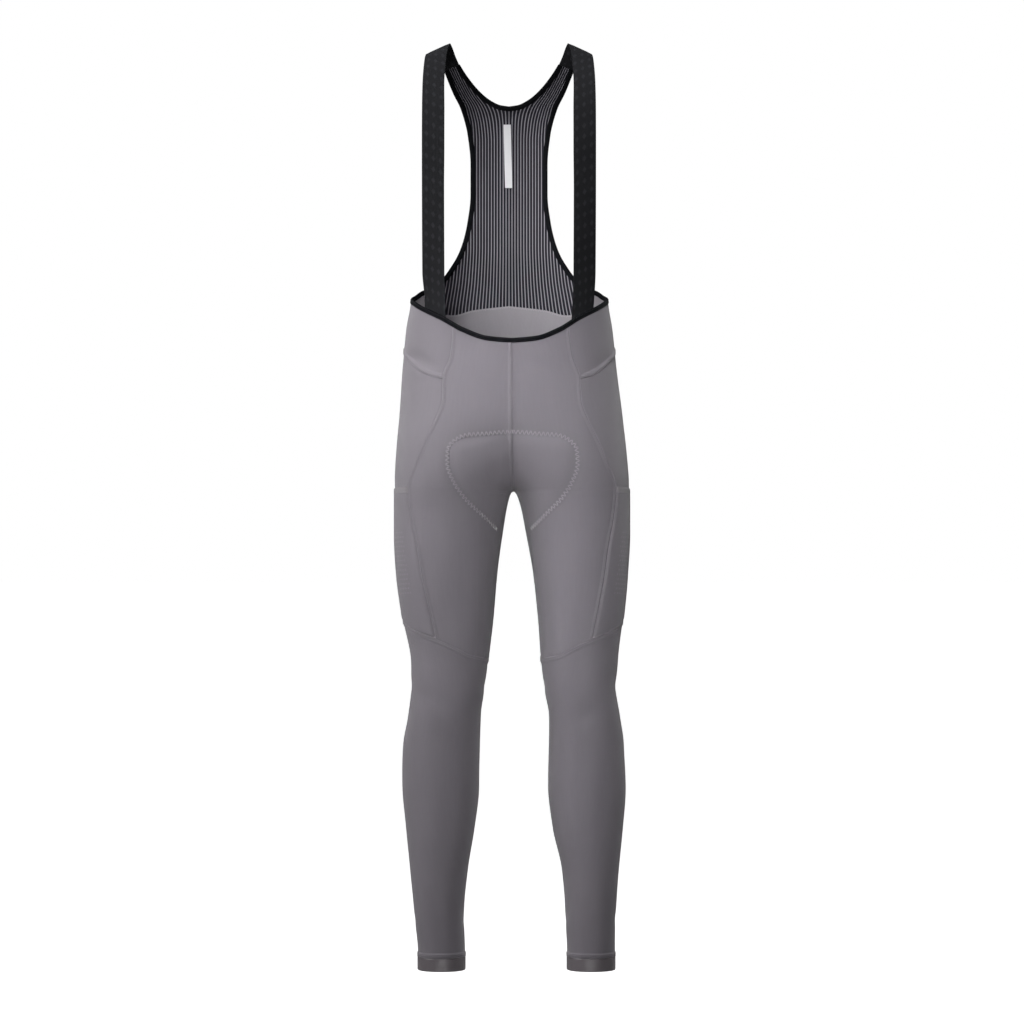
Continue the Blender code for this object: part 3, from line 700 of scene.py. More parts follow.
def raise_cloth(tree, surface, height, relief, strength=0.6):
    """Raises a finish by a bump, so many metres high."""
    bump = add_node(tree, "ShaderNodeBump", {"Height": height, "Distance": relief, "Strength": strength})
    feed(tree, surface, {"Normal": bump[0]})


# Fine weft knit: columns of small loops, with the yarn's own streaks along them, and painted shade that
# darkens the colour between the loops.
knit_group, knit_in, knit_out = new_group(
    "knit_face",
    (
        ("Light Yarn", "NodeSocketColor", (0.2, 0.2, 0.2, 1)),
        ("Dark Yarn", "NodeSocketColor", (0.15, 0.15, 0.15, 1)),
        ("Wales per Metre", "NodeSocketFloat", 900.0),
        ("Streak Strength", "NodeSocketFloat", 0.5),
    ),
    (("Colour", "NodeSocketColor"), ("Height", "NodeSocketFloat")),
)
light_yarn, dark_yarn, wales_per_metre, streak_strength = knit_in[:4]
knit_math = math_in(knit_group)
knit_place, knit_across, knit_up = cloth_places(knit_group)
wale_number = knit_math("MULTIPLY", knit_across, wales_per_metre)
course_number = knit_math("MULTIPLY", knit_up, wales_per_metre)
wale = knit_math("COSINE", knit_math("MULTIPLY", wale_number, 2 * np.pi))
course_phase = knit_math("MULTIPLY", course_number, 2.6 * np.pi)
course = knit_math("COSINE", knit_math("ADD", course_phase, knit_math("MULTIPLY", wale, 1.4)))
loops = knit_math("ADD", knit_math("MULTIPLY", wale, 0.6), knit_math("MULTIPLY", course, 0.4))
drawn_out = add_node(knit_group, "ShaderNodeMapping", {"Vector": knit_place, "Scale": (260, 26, 1)})[0]
uneven = [
    knit_math("SUBTRACT", add_node(knit_group, "ShaderNodeTexNoise", {
        "Vector": place, "Scale": scale, "Detail": detail,
    })[0], 0.5)
    for place, scale, detail in ((drawn_out, 1.0, 3.0), (knit_place, 9.0, 2.0))
]
streaks = knit_math("MULTIPLY", knit_math("ADD", *uneven), streak_strength)
# Painted shade: the colour is lighter on the raised loops and darker in the hollows between them.
painted_loop_shade = knit_math("ADD", knit_math("MULTIPLY", loops, 0.12), 0.5)
yarn = mix_colours(knit_group, knit_math("ADD", streaks, painted_loop_shade), dark_yarn, light_yarn)
knit_group.links.new(loops, knit_out["Height"])
knit_group.links.new(yarn, knit_out["Colour"])


def knit_material(name, light, dark, wales, roughness, sheen, relief=0.00012, streak=0.35, gloss=0.35):
    """A knit finish, whose loops are raised by the bump."""
    material, tree, surface = new_material(name, {
        "Roughness": roughness, "Sheen Weight": sheen, "Sheen Roughness": 0.45,
        "Specular IOR Level": gloss,
    })
    knit = add_node(tree, "ShaderNodeGroup", {
        "Light Yarn": (*light, 1), "Dark Yarn": (*dark, 1), "Wales per Metre": wales,
        "Streak Strength": streak,
    }, node_tree=knit_group)
    raise_cloth(tree, surface, knit["Height"], relief)
    feed(tree, surface, {"Base Color": knit["Colour"]})
    return material


def sew_on(piece, node, flat, area):
    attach(piece, "root")
    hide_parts(node)


GREY_LIGHT = (0.203, 0.1865, 0.211)
GREY_DARK = (0.153, 0.140, 0.159)
# The wrong side: a pale fleece, made paler still as painted light for the light that falls into the tights
# onto the inside of the back.
LIT_FLEECE_LIGHT = (0.34, 0.32, 0.345)
LIT_FLEECE_DARK = (0.26, 0.245, 0.265)
body_cloth = knit_material(
    "grey_brushed_knit", GREY_LIGHT, GREY_DARK, wales=900.0, roughness=0.72, sheen=0.25,
)
lit_fleece_inside = knit_material(
    "lit_pale_fleece_inside", LIT_FLEECE_LIGHT, LIT_FLEECE_DARK, wales=500.0, roughness=0.9, sheen=0.3,
)

lattices = {}
for side, letter in HALVES:
    lattices[letter] = round_point(side, lattice_turn, lattice_height)
    front_grid = lattices[letter][:, :SIDE_COLUMN + 1]
    turned_edges = ("last", "first") if side < 0 else ("last",)
    front = add_panel("front_" + letter, front_grid, side, body_cloth, turned_edges)
    sew_on(front, "front_panel_" + letter, flat=(0.215, 0.53), area=0.062)


# The yoke on each hip, from the bound waist to the slanting hip seam and round to the centre
# back, with the side panels and the back panels of the seat and thigh below it.
for side, letter in HALVES:
    upper, lower = lattices[letter][:HIP_ROW + 1], lattices[letter][HIP_ROW:]
    yoke = add_panel("hip_yoke_" + letter, upper[:, SIDE_COLUMN:], side, body_cloth, ("bottom",))
    sew_on(yoke, "yoke_" + letter, flat=(0.31, 0.085), area=0.0205)
    flank = add_panel("thigh_side_" + letter, lower[:, SIDE_COLUMN:BACK_COLUMN + 1], side, body_cloth)
    sew_on(flank, "side_panel_" + letter, flat=(0.18, 0.42), area=0.060)
    turned_edges = ("first", "last") if side < 0 else ("first",)
    seat = add_panel("seat_and_thigh_" + letter, lower[:, BACK_COLUMN:], side, body_cloth, turned_edges)
    sew_on(seat, "back_panel_" + letter, flat=(0.215, 0.55), area=0.077)


# The lower legs, one tube of the same knit each with its seam down the inside, and the smooth
# cuff bands that grip the ankles.
LEG_LENGTH, LEG_STEP = 490, 5.2
CUFF_LENGTH, CUFF_STEP = 30, 2.5
CUFF_TOP = -1407.5
CUFF_HEM = -1427.5
CUFF_RISE = 0.9
CUFF_WALL = 2.2
CUFF_GREY = (0.150, 0.131, 0.144)
CUFF_GREY_DARK = (0.125, 0.109, 0.120)
cuff_cloth = knit_material(
    "smooth_cuff_elastic", CUFF_GREY, CUFF_GREY_DARK, wales=1200.0, roughness=0.33, sheen=0.0,
    relief=0.00003, gloss=1.0,
)
leg_shares = fine_shares(LEG_LENGTH, LEG_STEP)[:, None]
cuff_heights = between(CUFF_TOP, CUFF_HEM, fine_shares(CUFF_LENGTH, CUFF_STEP))[:, None]
knee_turn, knee_height = lattice_turn[-1:], lattice_height[-1:]
for side, letter in HALVES:
    leg_heights = between(knee_height, CUFF_TOP, leg_shares)
    leg_grid = round_point(side, knee_turn + 0 * leg_shares, leg_heights)
    leg = add_panel("lower_leg_" + letter + "_cloth", leg_grid, side, body_cloth, ("top", "bottom"))
    sew_on(leg, "lower_leg_" + letter, flat=(0.41, 0.50), area=0.150)
    cuff_grid = round_point(side, knee_turn + 0 * cuff_heights, cuff_heights + 0 * knee_turn)
    cuff = add_panel(
        "ankle_cuff_" + letter, cuff_grid, side, cuff_cloth, rise=CUFF_RISE, wall=CUFF_WALL, plain=True,
    )
    sew_on(cuff, "cuff_" + letter, flat=(0.235, 0.020), area=0.0047)


# The cargo pocket on each thigh, laid over the side panel, with a folded band along its mouth.
# A small tonal repeat of dots is printed on the bag.
LAYER_GAP = 0.3
POCKET_RISE = CLOTH_WALL + LAYER_GAP
MOUTH_SHARE, MOUTH_ROWS = 0.04, 9
BAND_LIGHT, BAND_DARK = (0.235, 0.220, 0.238), (0.185, 0.172, 0.187)
DOT_PITCH = 0.0072
DOT_SIZE = 0.21
DOT_TONE = (1.3, 1.28, 1.3, 1)
# Columns: middle of the dotted patch and half its size, across from the pocket's middle and up.
DOT_PATCH = ((-0.038, 0.024), (-0.110, 0.050))
pocket_cloth = knit_material(
    "pocket_knit", GREY_LIGHT, GREY_DARK, wales=900.0, roughness=0.68, sheen=0.25,
)
band_cloth = knit_material(
    "pocket_band_knit", BAND_LIGHT, BAND_DARK, wales=900.0, roughness=0.7, sheen=0.25,
)
pocket_tree = pocket_cloth.node_tree
dot_math = math_in(pocket_tree)
dot_places = cloth_places(pocket_tree)[1:]
dot_columns, dot_rows = [
    dot_math("ADD", dot_math("DIVIDE", place, DOT_PITCH), 100.0) for place in dot_places
]
half_shift = dot_math("MULTIPLY", dot_math("MODULO", dot_math("FLOOR", dot_rows), 2.0), 0.5)
from_dot = [
    dot_math("SUBTRACT", dot_math("FRACT", place), 0.5)
    for place in (dot_rows, dot_math("ADD", dot_columns, half_shift))
]
squares = [dot_math("MULTIPLY", offset, offset) for offset in from_dot]
dot_mask = dot_math("LESS_THAN", dot_math("SQRT", dot_math("ADD", *squares)), DOT_SIZE)
for place, (patch_middle, patch_half) in zip(dot_places, DOT_PATCH):
    beside = dot_math("ABSOLUTE", dot_math("SUBTRACT", place, patch_middle))
    dot_mask = dot_math("MULTIPLY", dot_mask, dot_math("LESS_THAN", beside, patch_half))
undotted = pocket_tree.nodes["Group"].outputs["Colour"]
dotted = mix_colours(pocket_tree, dot_mask, undotted, DOT_TONE, "MULTIPLY")
feed(pocket_tree, pocket_tree.nodes["Principled BSDF"], {"Base Color": dotted})

flank_turn = lattice_turn[CROTCH_ROW:, SIDE_COLUMN:BACK_COLUMN + 1]
flank_height = lattice_height[CROTCH_ROW:, SIDE_COLUMN:BACK_COLUMN + 1]
band_shares = np.linspace(0, MOUTH_SHARE, MOUTH_ROWS)
bag_shares = MOUTH_SHARE + (1 - MOUTH_SHARE) * fine_shares(225, CLOTH_STEP)
# Columns: piece, solid, its rows down the thigh, cloth, edges sewn down, flat size and area.
POCKET_PARTS = (
    ("pocket_mouth_", "pocket_band_", band_shares, band_cloth,
     ("first", "last"), (0.155, 0.0105), 0.0014),
    ("cargo_pocket_", "pocket_", bag_shares, pocket_cloth,
     ("first", "last", "bottom"), (0.155, 0.225), 0.0295),
)
for side, letter in HALVES:
    for name, node, rows, cloth, sewn_down, flat, area in POCKET_PARTS:
        height = between(flank_height[:1], flank_height[-1:], rows[:, None])
        turn = np.stack([
            np.interp(-height[:, j], -flank_height[:, j], flank_turn[:, j])
            for j in range(flank_height.shape[1])
        ], axis=1)
        grid = round_point(side, turn, height)
        piece = add_panel(name + letter, grid, side, cloth, rise=POCKET_RISE, sewn_down=sewn_down)
        sew_on(piece, node + letter, flat, area)


# The mesh back: one piece of dark net with thin pale stripes knitted in, which run up the
# back, spread out towards the hips and follow the shoulders.
MESH_WALL = 1.2
ARMHOLE_EDGE = (
    (95.0, -27.0), (80.5, -60.5), (71.0, -78.5), (63.5, -100.5), (58.5, -122.0),
    (53.5, -172.0), (53.5, -220.0), (59.0, -268.0), (64.5, -292.5), (73.5, -317.5),
    (88.0, -342.0), (98.0, -355.5), (113.0, -368.0),
)
NECK_EDGE = (
    (0.0, -87.6), (16.0, -85.2), (33.0, -77.5), (46.5, -67.6), (56.5, -58.0), (65.0, -48.6),
    (75.0, -36.0), (84.0, -23.0),
)
# The stripes lie 4.65 mm apart, close up beside the straps and spread out towards the hips.
# Columns: height, then how far these stripes are from the middle there.
STRIPE_NUMBERS = (0, 3, 6, 9, 13, 22)
STRIPE_PLACES = (
    (-24, 0, 45, 72, 84, 99, 126),
    (-49, 0, 38, 60, 71, 85.5, 111),
    (-65, 0, 31, 50, 61.8, 77, 105),
    (-80.5, 0, 21, 38, 51.9, 68.4, 104),
    (-93, 0, 16.4, 32.8, 47.4, 64.8, 104),
    (-109, 0, 14.4, 29.8, 44, 61.5, 103),
    (-135, 0, 13.95, 27.9, 41.9, 60.5, 102.3),
    (-300, 0, 13.95, 27.9, 41.9, 60.5, 102.3),
    (-354, 0, 14.6, 29.3, 43.9, 63.4, 107.4),
    (-386, 0, 15.5, 31.0, 46.5, 67.2, 113.8),
    (-417, 0, 16.4, 32.8, 49.3, 71.1, 120.4),
)
MESH_ROWS_TO_NECK = 80
MESH_ROWS_ABOVE = 40
MESH_GROUND = (0.008, 0.0075, 0.014)
STRIPE_PALE = (0.325, 0.311, 0.348)
# Share of the pitch out to which a stripe is whole, and at which it is gone.
STRIPE_EDGE = (0.09, 0.17)

foot_turn = lattice_turn[0, BACK_COLUMN:][::-1]
foot_height = lattice_height[0, BACK_COLUMN:][::-1]
foot_points = round_point(1, foot_turn, foot_height)
foot_ring = section(foot_height)
foot = np.stack([foot_points[:, 0] - foot_ring["middle"], foot_height], axis=-1)
foot[:, 0] -= foot_ring["drift"] * (foot[:, 0] / foot_ring["half_width"]) ** 2
foot[0, 0] = 0.0
mesh_columns = (1 - back_shares[::-1])[:, None]
up = np.linspace(0, 1, MESH_ROWS_TO_NECK + 1)[:, None]
middle_line = between(foot[0], np.array(NECK_EDGE[0]), up)
inner_line = np.concatenate([middle_line, along_table(NECK_EDGE, MESH_ROWS_ABOVE + 1)[1:]])
outer_line = along_table(np.concatenate([foot[-1:], ARMHOLE_EDGE[::-1]]), len(inner_line))
top_line = between(inner_line[-1], outer_line[-1], mesh_columns)
mesh_rise = np.linspace(0, 1, len(inner_line))[:, None, None]
mesh_across = mesh_columns[None, :, :]
half_grid = (1 - mesh_across) * inner_line[:, None] + mesh_across * outer_line[:, None]
half_grid += (1 - mesh_rise) * foot[None] + mesh_rise * top_line[None]
half_grid -= (1 - mesh_rise) * between(foot[0], foot[-1], mesh_columns)[None]
half_grid -= mesh_rise * between(top_line[0], top_line[-1], mesh_columns)[None]
stripe_curves = curves_of(STRIPE_PLACES)


def stripe_uv(side, grid):
    """Stripe number across, and metres of cloth up."""
    number = np.zeros(grid.shape[:-1])
    for i in range(len(STRIPE_NUMBERS) - 1):
        near, far = stripe_curves[i](grid[..., 1]), stripe_curves[i + 1](grid[..., 1])
        passed = np.clip((grid[..., 0] - near) / (far - near), 0, 1)
        number += passed * (STRIPE_NUMBERS[i + 1] - STRIPE_NUMBERS[i])
    return np.stack([side * number, grid[..., 1] * MM], axis=-1)


def off_centre(add_math, place):
    """How far a place is from the middle of its repeat, from 0 to 0.5."""
    return add_math("ABSOLUTE", add_math("SUBTRACT", add_math("FRACT", place), 0.5))


def two_tone(tree, surface, distance, edge, ground, figure):
    """Colours a figure on a ground by the distance from the figure's middle."""
    whole, gone = edge
    mask = add_node(tree, "ShaderNodeMapRange", {
        "Value": distance, "From Min": whole, "From Max": gone, "To Min": 1.0, "To Max": 0.0,
    })[0]
    feed(tree, surface, {"Base Color": mix_colours(tree, mask, (*ground, 1), (*figure, 1))})
    return mask


mesh_cloth, mesh_tree, mesh_surface = new_material(
    "striped_mesh", {"Roughness": 0.7, "Specular IOR Level": 0.25},
)
mesh_math = math_in(mesh_tree)
stripe_number, mesh_up = cloth_places(mesh_tree)[1:]
from_stripe = off_centre(mesh_math, mesh_math("ADD", stripe_number, 100.5))
stripe_mask = two_tone(mesh_tree, mesh_surface, from_stripe, STRIPE_EDGE, MESH_GROUND, STRIPE_PALE)
net_across = mesh_math("SINE", mesh_math("MULTIPLY", stripe_number, 6 * np.pi))
net_up = mesh_math("SINE", mesh_math("MULTIPLY", mesh_up, 1100 * np.pi))
net_height = mesh_math("ADD", mesh_math("MULTIPLY", net_across, net_up), stripe_mask)
raise_cloth(mesh_tree, mesh_surface, net_height, relief=0.00025)

# Both halves share the points of their middle line up to the neck, and have no rim there.
mesh_halves = {side: flat_point(side, half_grid[..., 0], half_grid[..., 1], 1) for side in (1, -1)}
mesh_points, mesh_uvs = [], []
rows, columns = half_grid.shape[:2]
joined = MESH_ROWS_TO_NECK + 1
for depth in (0.0, MESH_WALL):
    for side in (1, -1):
        base = pushed_out(mesh_halves[side])
        base[:joined, 0] = mesh_halves[side][:joined, 0]
        mesh_points.append((base - outward(base) * depth).reshape(-1, 3))
        mesh_uvs.append(stripe_uv(side, half_grid).reshape(-1, 2))
count = rows * columns
half_faces = wall_faces(rows, columns)
on_outer = half_faces < count
is_rim = on_outer.any(axis=1) & ~on_outer.all(axis=1)
at_middle = (half_faces % columns == 0) & (half_faces % count < joined * columns)
half_faces = half_faces[~(is_rim & at_middle.all(axis=1))]
first_half = half_faces + np.where(half_faces < count, 0, count)
second_half = half_faces + np.where(half_faces < count, count, 2 * count)
mesh_faces = np.concatenate([first_half, second_half[:, ::-1]])
seam_row = np.arange(0, joined * columns, columns)
shared = np.arange(4 * count)
shared[count + seam_row] = seam_row
shared[3 * count + seam_row] = 2 * count + seam_row
used, mesh_faces = np.unique(shared[mesh_faces], return_inverse=True)
mesh_faces = mesh_faces.reshape(-1, 4)
all_points, all_uvs = np.concatenate(mesh_points)[used], np.concatenate(mesh_uvs)[used]
mesh_back = add_mesh_piece("striped_back", all_points, mesh_faces, all_uvs, [mesh_cloth])
sew_on(
    mesh_back, "mesh_back", flat=(0.24, 0.385), area=0.046,
)


# Black folded binding: one run down each armhole, round the sides and across the front waist,
# and a second one round the neck. Each is a strip folded over the cloth edge and stitched.
BINDING_SECTION = (
    (0.0, -2.1), (0.0, 0.1), (0.9, 0.7), (2.4, 1.0), (3.9, 1.05), (5.6, 0.9), (7.0, 0.4),
    (7.5, -0.6), (7.3, -1.6), (6.2, -2.2), (3.7, -2.35), (1.4, -2.3),
)
BINDING_END_PULL = 0.8
BINDING_BLACK = (0.0045, 0.0048, 0.0062)
BINDING_GUIDES, BINDING_GUIDE_LIFT = (1.6, 5.6), 0.8
BINDING_CORNER_STEP = 1.6
BINDING_STATIONS = 520
binding_cloth = knit_material(
    "black_binding", BINDING_BLACK, BINDING_BLACK, wales=1000.0, roughness=0.7, sheen=0.0,
    relief=0.00010, gloss=0.05,
)
binding_guides = []


def add_binding(name, edge, outer_side):
    """A folded strip along a cloth edge, on the side of it that outer_side gives."""
    along = np.gradient(edge, axis=0)
    away = outward(edge)
    past = unit(np.cross(along, away)) * outer_side
    corners = [edge + past * reach + away * rise for reach, rise in BINDING_SECTION]
    points = np.stack(corners, axis=1)
    ends = unit(along[[0, -1]])
    points[0] += ends[0] * BINDING_END_PULL
    points[-1] -= ends[1] * BINDING_END_PULL
    stations, around = points.shape[:2]
    length = run_lengths(edge)
    turn_round = np.arange(around) * BINDING_CORNER_STEP
    uv = np.stack(np.broadcast_arrays(turn_round[None, :], length[:, None]), axis=-1) * MM
    ring = np.arange(stations * around).reshape(stations, around)
    beside = np.roll(ring, -1, axis=1)
    faces = np.stack([ring[:-1], beside[:-1], beside[1:], ring[1:]], axis=-1).reshape(-1, 4)
    caps = []
    for end, flip in ((ring[0], True), (ring[-1], False)):
        for j in range(around // 2 - 1):
            cap = end[[j, j + 1, around - 2 - j, around - 1 - j]]
            caps.append(cap[::-1] if flip else cap)
    faces = np.concatenate([faces, np.array(caps)])
    for reach in BINDING_GUIDES:
        line = edge + past * reach + away * BINDING_GUIDE_LIFT
        binding_guides.append((line[2:-2], away[2:-2]))
    return add_mesh_piece(name, points.reshape(-1, 3), faces, uv.reshape(-1, 2), [binding_cloth])


edge_runs = []
for side in (-1, 1):
    waist = round_point(side, lattice_turn[0, :BACK_COLUMN + 1], lattice_height[0, :BACK_COLUMN + 1])
    edge_runs.append(np.concatenate([mesh_halves[side][::-1, -1], waist[::-1][1:]]))
whole_edge = np.concatenate([edge_runs[0], edge_runs[1][::-1][1:]])
edge_length = run_lengths(whole_edge)
even_places = np.linspace(0, edge_length[-1], BINDING_STATIONS)
even_edge = np.stack([np.interp(even_places, edge_length, whole_edge[:, k]) for k in range(3)], axis=-1)
edge_binding = add_binding("armhole_and_waist_binding", even_edge, -1)
sew_on(edge_binding, "edge_binding", flat=(0.010, 1.40), area=0.014)
neck_right = mesh_halves[-1][MESH_ROWS_TO_NECK:, 0][::-1]
neck_left = mesh_halves[1][MESH_ROWS_TO_NECK:, 0][1:]
neck_binding = add_binding("neckline_binding", np.concatenate([neck_right, neck_left]), 1)
sew_on(neck_binding, "neck_binding", flat=(0.010, 0.235), area=0.00235)


# The shoulder straps: flat black elastic, sewn behind the front waist, laid over the shoulder
# and joined to the tops of the mesh back, with a tonal lozenge repeat woven in.
STRAP_WALL = 1.5
STRAP_INSET = 3.3
STRAP_ROUNDING = 0.45
STRAP_STEPS = 200
STRAP_ACROSS = 14
STRAP_SEAM_OUTER = (101.0, -29.0)
STRAP_SEAM_INNER = (78.0, -21.0)
STRAP_FOOT = ((132, -424, 98, -441), (132, -411, 98, -428), (132.5, -399, 98.5, -415))
STRAP_RUN = (
    (133, -72, -350, 99, -91, -357),
    (133, -86, -290, 99, -99, -294),
    (133, -94, -220, 99, -103, -222),
    (133, -95, -160, 98.5, -101, -162),
    (133, -87, -105, 98.5, -91, -106),
    (132.5, -70, -62, 99, -71, -62),
    (131, -46, -31, 97.5, -45, -27),
    (129.5, -22, -14.5, 94.5, -18, -1),
    (128, -2, -9.5, 91.5, 4, 8),
    (124, 14, -13, 88.5, 19, 3.5),
    (114, 30, -20.5, 84, 31, -8),
)
STRAP_BLACK = (0.0122, 0.0124, 0.0142)
STRAP_TONAL = (0.0200, 0.0203, 0.0235)
LOZENGE_ACROSS = 0.0113
LOZENGE_ALONG = 0.017
LOZENGE_EDGE = (0.26, 0.31)

strap_elastic, strap_tree, strap_surface = new_material(
    "black_strap_elastic", {"Roughness": 0.9, "Specular IOR Level": 0.12},
)
strap_math = math_in(strap_tree)
strap_across, strap_along = cloth_places(strap_tree)[1:]
lozenge = strap_math("ADD", *[
    off_centre(strap_math, strap_math("ADD", strap_math("DIVIDE", place, pitch), 200.5))
    for place, pitch in ((strap_across, LOZENGE_ACROSS), (strap_along, LOZENGE_ALONG))
])
lozenge_mask = two_tone(strap_tree, strap_surface, lozenge, LOZENGE_EDGE, STRAP_BLACK, STRAP_TONAL)
strap_ribs = strap_math("SINE", strap_math("MULTIPLY", strap_along, 1400 * np.pi))
strap_cords = strap_math("SINE", strap_math("MULTIPLY", strap_across, 900 * np.pi))
strap_height = strap_math("ADD", strap_math("ADD", strap_ribs, strap_cords), lozenge_mask)
raise_cloth(strap_tree, strap_surface, strap_height, relief=0.00012, strength=0.45)

for side, letter in HALVES:
    strap_rows = []
    for outer_x, outer_z, inner_x, inner_z in STRAP_FOOT:
        pair = []
        for x, z in ((outer_x, outer_z), (inner_x, inner_z)):
            middle = side * section(float(z))["middle"]
            on_form = flat_point(side, x - middle, float(z), -1)
            pair.append(on_form - outward(on_form) * STRAP_INSET)
        strap_rows.append(np.concatenate(pair))
    for row in STRAP_RUN:
        strap_rows.append(np.array(row, float) * np.array([side, 1, 1, side, 1, 1]))
    strap_seam = [flat_point(side, x, z, 1) for x, z in (STRAP_SEAM_OUTER, STRAP_SEAM_INNER)]
    strap_rows.append(np.concatenate(strap_seam))
    spine = along_table(strap_rows, STRAP_STEPS + 1)
    shares = soft_step(np.linspace(0, 1, STRAP_ACROSS + 1))[None, :, None]
    strap_grid = between(spine[:, None, :3], spine[:, None, 3:], shares)
    along = np.gradient(strap_grid, axis=0)
    across = np.gradient(strap_grid, axis=1)
    away = unit(np.cross(across, along)) * -side
    rounding = STRAP_ROUNDING * (1 - soft_step(4 * np.minimum(shares, 1 - shares)))
    outer, inner = strap_grid - away * rounding, strap_grid - away * (STRAP_WALL - rounding)
    distances = edge_distances(strap_grid)
    half_across = distances["first"].mean(axis=0)[-1] / 2
    strap_uv = np.stack([distances["first"] - half_across, distances["top"]], axis=-1) * MM
    strap = add_wall("shoulder_strap_" + letter, outer, inner, strap_uv, strap_elastic)
    sew_on(
        strap, "strap_" + letter, flat=(0.034, 0.53), area=0.0180,
    )


# The white label: plain woven tape, sewn at its top edge to the inside of the mesh back.
LABEL_TOP, LABEL_LENGTH, LABEL_WIDTH = -108.5, 100.0, 11.4
LABEL_TOP_X, LABEL_FOOT_X = -3.1, -0.6
LABEL_WALL = 1.0
LABEL_ROWS, LABEL_COLUMNS = 61, 9
LABEL_WHITE, LABEL_SHADE = (0.78, 0.78, 0.80), (0.70, 0.70, 0.72)
label_down = np.linspace(0, 1, LABEL_ROWS)[:, None]
label_across = np.linspace(-LABEL_WIDTH / 2, LABEL_WIDTH / 2, LABEL_COLUMNS)[None, :]
label_x = between(LABEL_TOP_X, LABEL_FOOT_X, label_down) + label_across
label_height = LABEL_TOP - LABEL_LENGTH * label_down + 0 * label_across
label_base = flat_point(1, np.abs(label_x), label_height, 1)
label_base[..., 0] = label_x
label_away = outward(label_base)
label_outer = label_base - label_away * (MESH_WALL + LAYER_GAP)
label_inner = label_outer - label_away * LABEL_WALL
label_uv = np.stack([label_x, label_height], axis=-1) * MM
label_tape = knit_material(
    "white_label_tape", LABEL_WHITE, LABEL_SHADE, wales=1500.0, roughness=0.6, sheen=0.0, relief=0.00005,
)
label = add_wall("plain_label", label_outer, label_inner, label_uv, label_tape)
sew_on(
    label, "label", flat=(0.0114, 0.100), area=0.0114 * 0.100,
)


# The sewing: two rows of fine stitches along each turned seam, rows along the bindings, a pale
# overlocked seam at the foot of the mesh, and the wide zigzag that holds the pad.
STITCH_PITCH = 2.7
STITCH_LENGTH = 2.2
THREAD_RADIUS = 0.27
# Pitch, length and thread radius of the stitches in the bindings.
BINDING_STITCH = (3.0, 2.3, 0.2)
BINDING_THREAD = (0.010, 0.010, 0.012)
ZIGZAG_PITCH = 3.2
ZIGZAG_WIDTH = 8.0
ZIGZAG_RADIUS = 0.55
ZIGZAG_LIFT = 0.35
THREAD_GREY = (0.270, 0.255, 0.275)
OVERLOCK_PALE = (0.52, 0.50, 0.53)
OVERLOCK_PITCH = 1.9
OVERLOCK_WIDTH = 3.6
PAD_THREAD = (0.40, 0.385, 0.405)
OVERLOCK_RADIUS = 0.24
# The overlocked seam lies this share of its width below the foot of the mesh.
OVERLOCK_DROP = 0.4

STITCH_SOCKETS = ("Pitch", "Stitch Length", "Thread Radius", "Slant")
stitch_tree, tree_in, tree_out = new_group(
    "stitch_run",
    (
        ("Guide", "NodeSocketGeometry", None),
        *((socket_name, "NodeSocketFloat", 0.0) for socket_name in STITCH_SOCKETS),
        ("Thread", "NodeSocketMaterial", None),
    ),
    (("Stitches", "NodeSocketGeometry"),),
    "GeometryNodeTree",
)
stitch_tree.is_modifier = True
tree_math = math_in(stitch_tree)
line = add_node(stitch_tree, "GeometryNodeMeshToCurve", {0: tree_in["Guide"]})
stitch_points = add_node(
    stitch_tree, "GeometryNodeResampleCurve", {"Curve": line[0], "Length": tree_in["Pitch"]}, mode="LENGTH",
)
tangent = add_node(stitch_tree, "GeometryNodeInputTangent")
lift = add_node(
    stitch_tree, "GeometryNodeInputNamedAttribute", {"Name": "away"}, data_type="FLOAT_VECTOR",
)
facing = add_node(
    stitch_tree, "FunctionNodeAxesToRotation", {0: tangent[0], 1: lift[0]},
    primary_axis="X", secondary_axis="Z",
)
odd = tree_math("MODULO", add_node(stitch_tree, "GeometryNodeInputIndex")[0], 2.0)
sign = tree_math("SUBTRACT", tree_math("MULTIPLY", odd, 2.0), 1.0)
slanted = {"Axis": (0, 0, 1), "Angle": tree_math("MULTIPLY", sign, tree_in["Slant"])}
spin = add_node(stitch_tree, "FunctionNodeAxisAngleToRotation", slanted)
turned = add_node(
    stitch_tree, "FunctionNodeRotateRotation", {0: facing[0], 1: spin[0]}, rotation_space="LOCAL",
)
bead = add_node(stitch_tree, "GeometryNodeMeshUVSphere", {"Segments": 5, "Rings": 4, "Radius": 1.0})
half_length = tree_math("MULTIPLY", tree_in["Stitch Length"], 0.5)
bead_size = add_node(stitch_tree, "ShaderNodeCombineXYZ", {
    0: half_length, 1: tree_in["Thread Radius"], 2: tree_in["Thread Radius"],
})
beads = add_node(stitch_tree, "GeometryNodeInstanceOnPoints", {
    "Points": stitch_points[0], "Instance": bead[0], "Rotation": turned[0], "Scale": bead_size[0],
})
stitches = add_node(stitch_tree, "GeometryNodeRealizeInstances", {0: beads[0]})
smooth = add_node(stitch_tree, "GeometryNodeSetShadeSmooth", {0: stitches[0]})
dressed = {"Geometry": smooth[0], "Material": tree_in["Thread"]}
threaded = add_node(stitch_tree, "GeometryNodeSetMaterial", dressed)
stitch_tree.links.new(threaded[0], tree_out["Stitches"])


def thread_material(name, colour):
    """Twisted thread with fine slanting plies."""
    material, tree, surface = new_material(name, {"Roughness": 0.5})
    place = add_node(tree, "ShaderNodeTexCoord")["Object"]
    plies = add_node(tree, "ShaderNodeTexNoise", {"Vector": place, "Scale": 900.0})
    tone = add_node(tree, "ShaderNodeMapRange", {"Value": plies[0], "To Min": 0.75, "To Max": 1.2})
    feed(tree, surface, {"Base Color": mix_colours(tree, 1.0, (*colour, 1), tone[0], "MULTIPLY")})
    return material


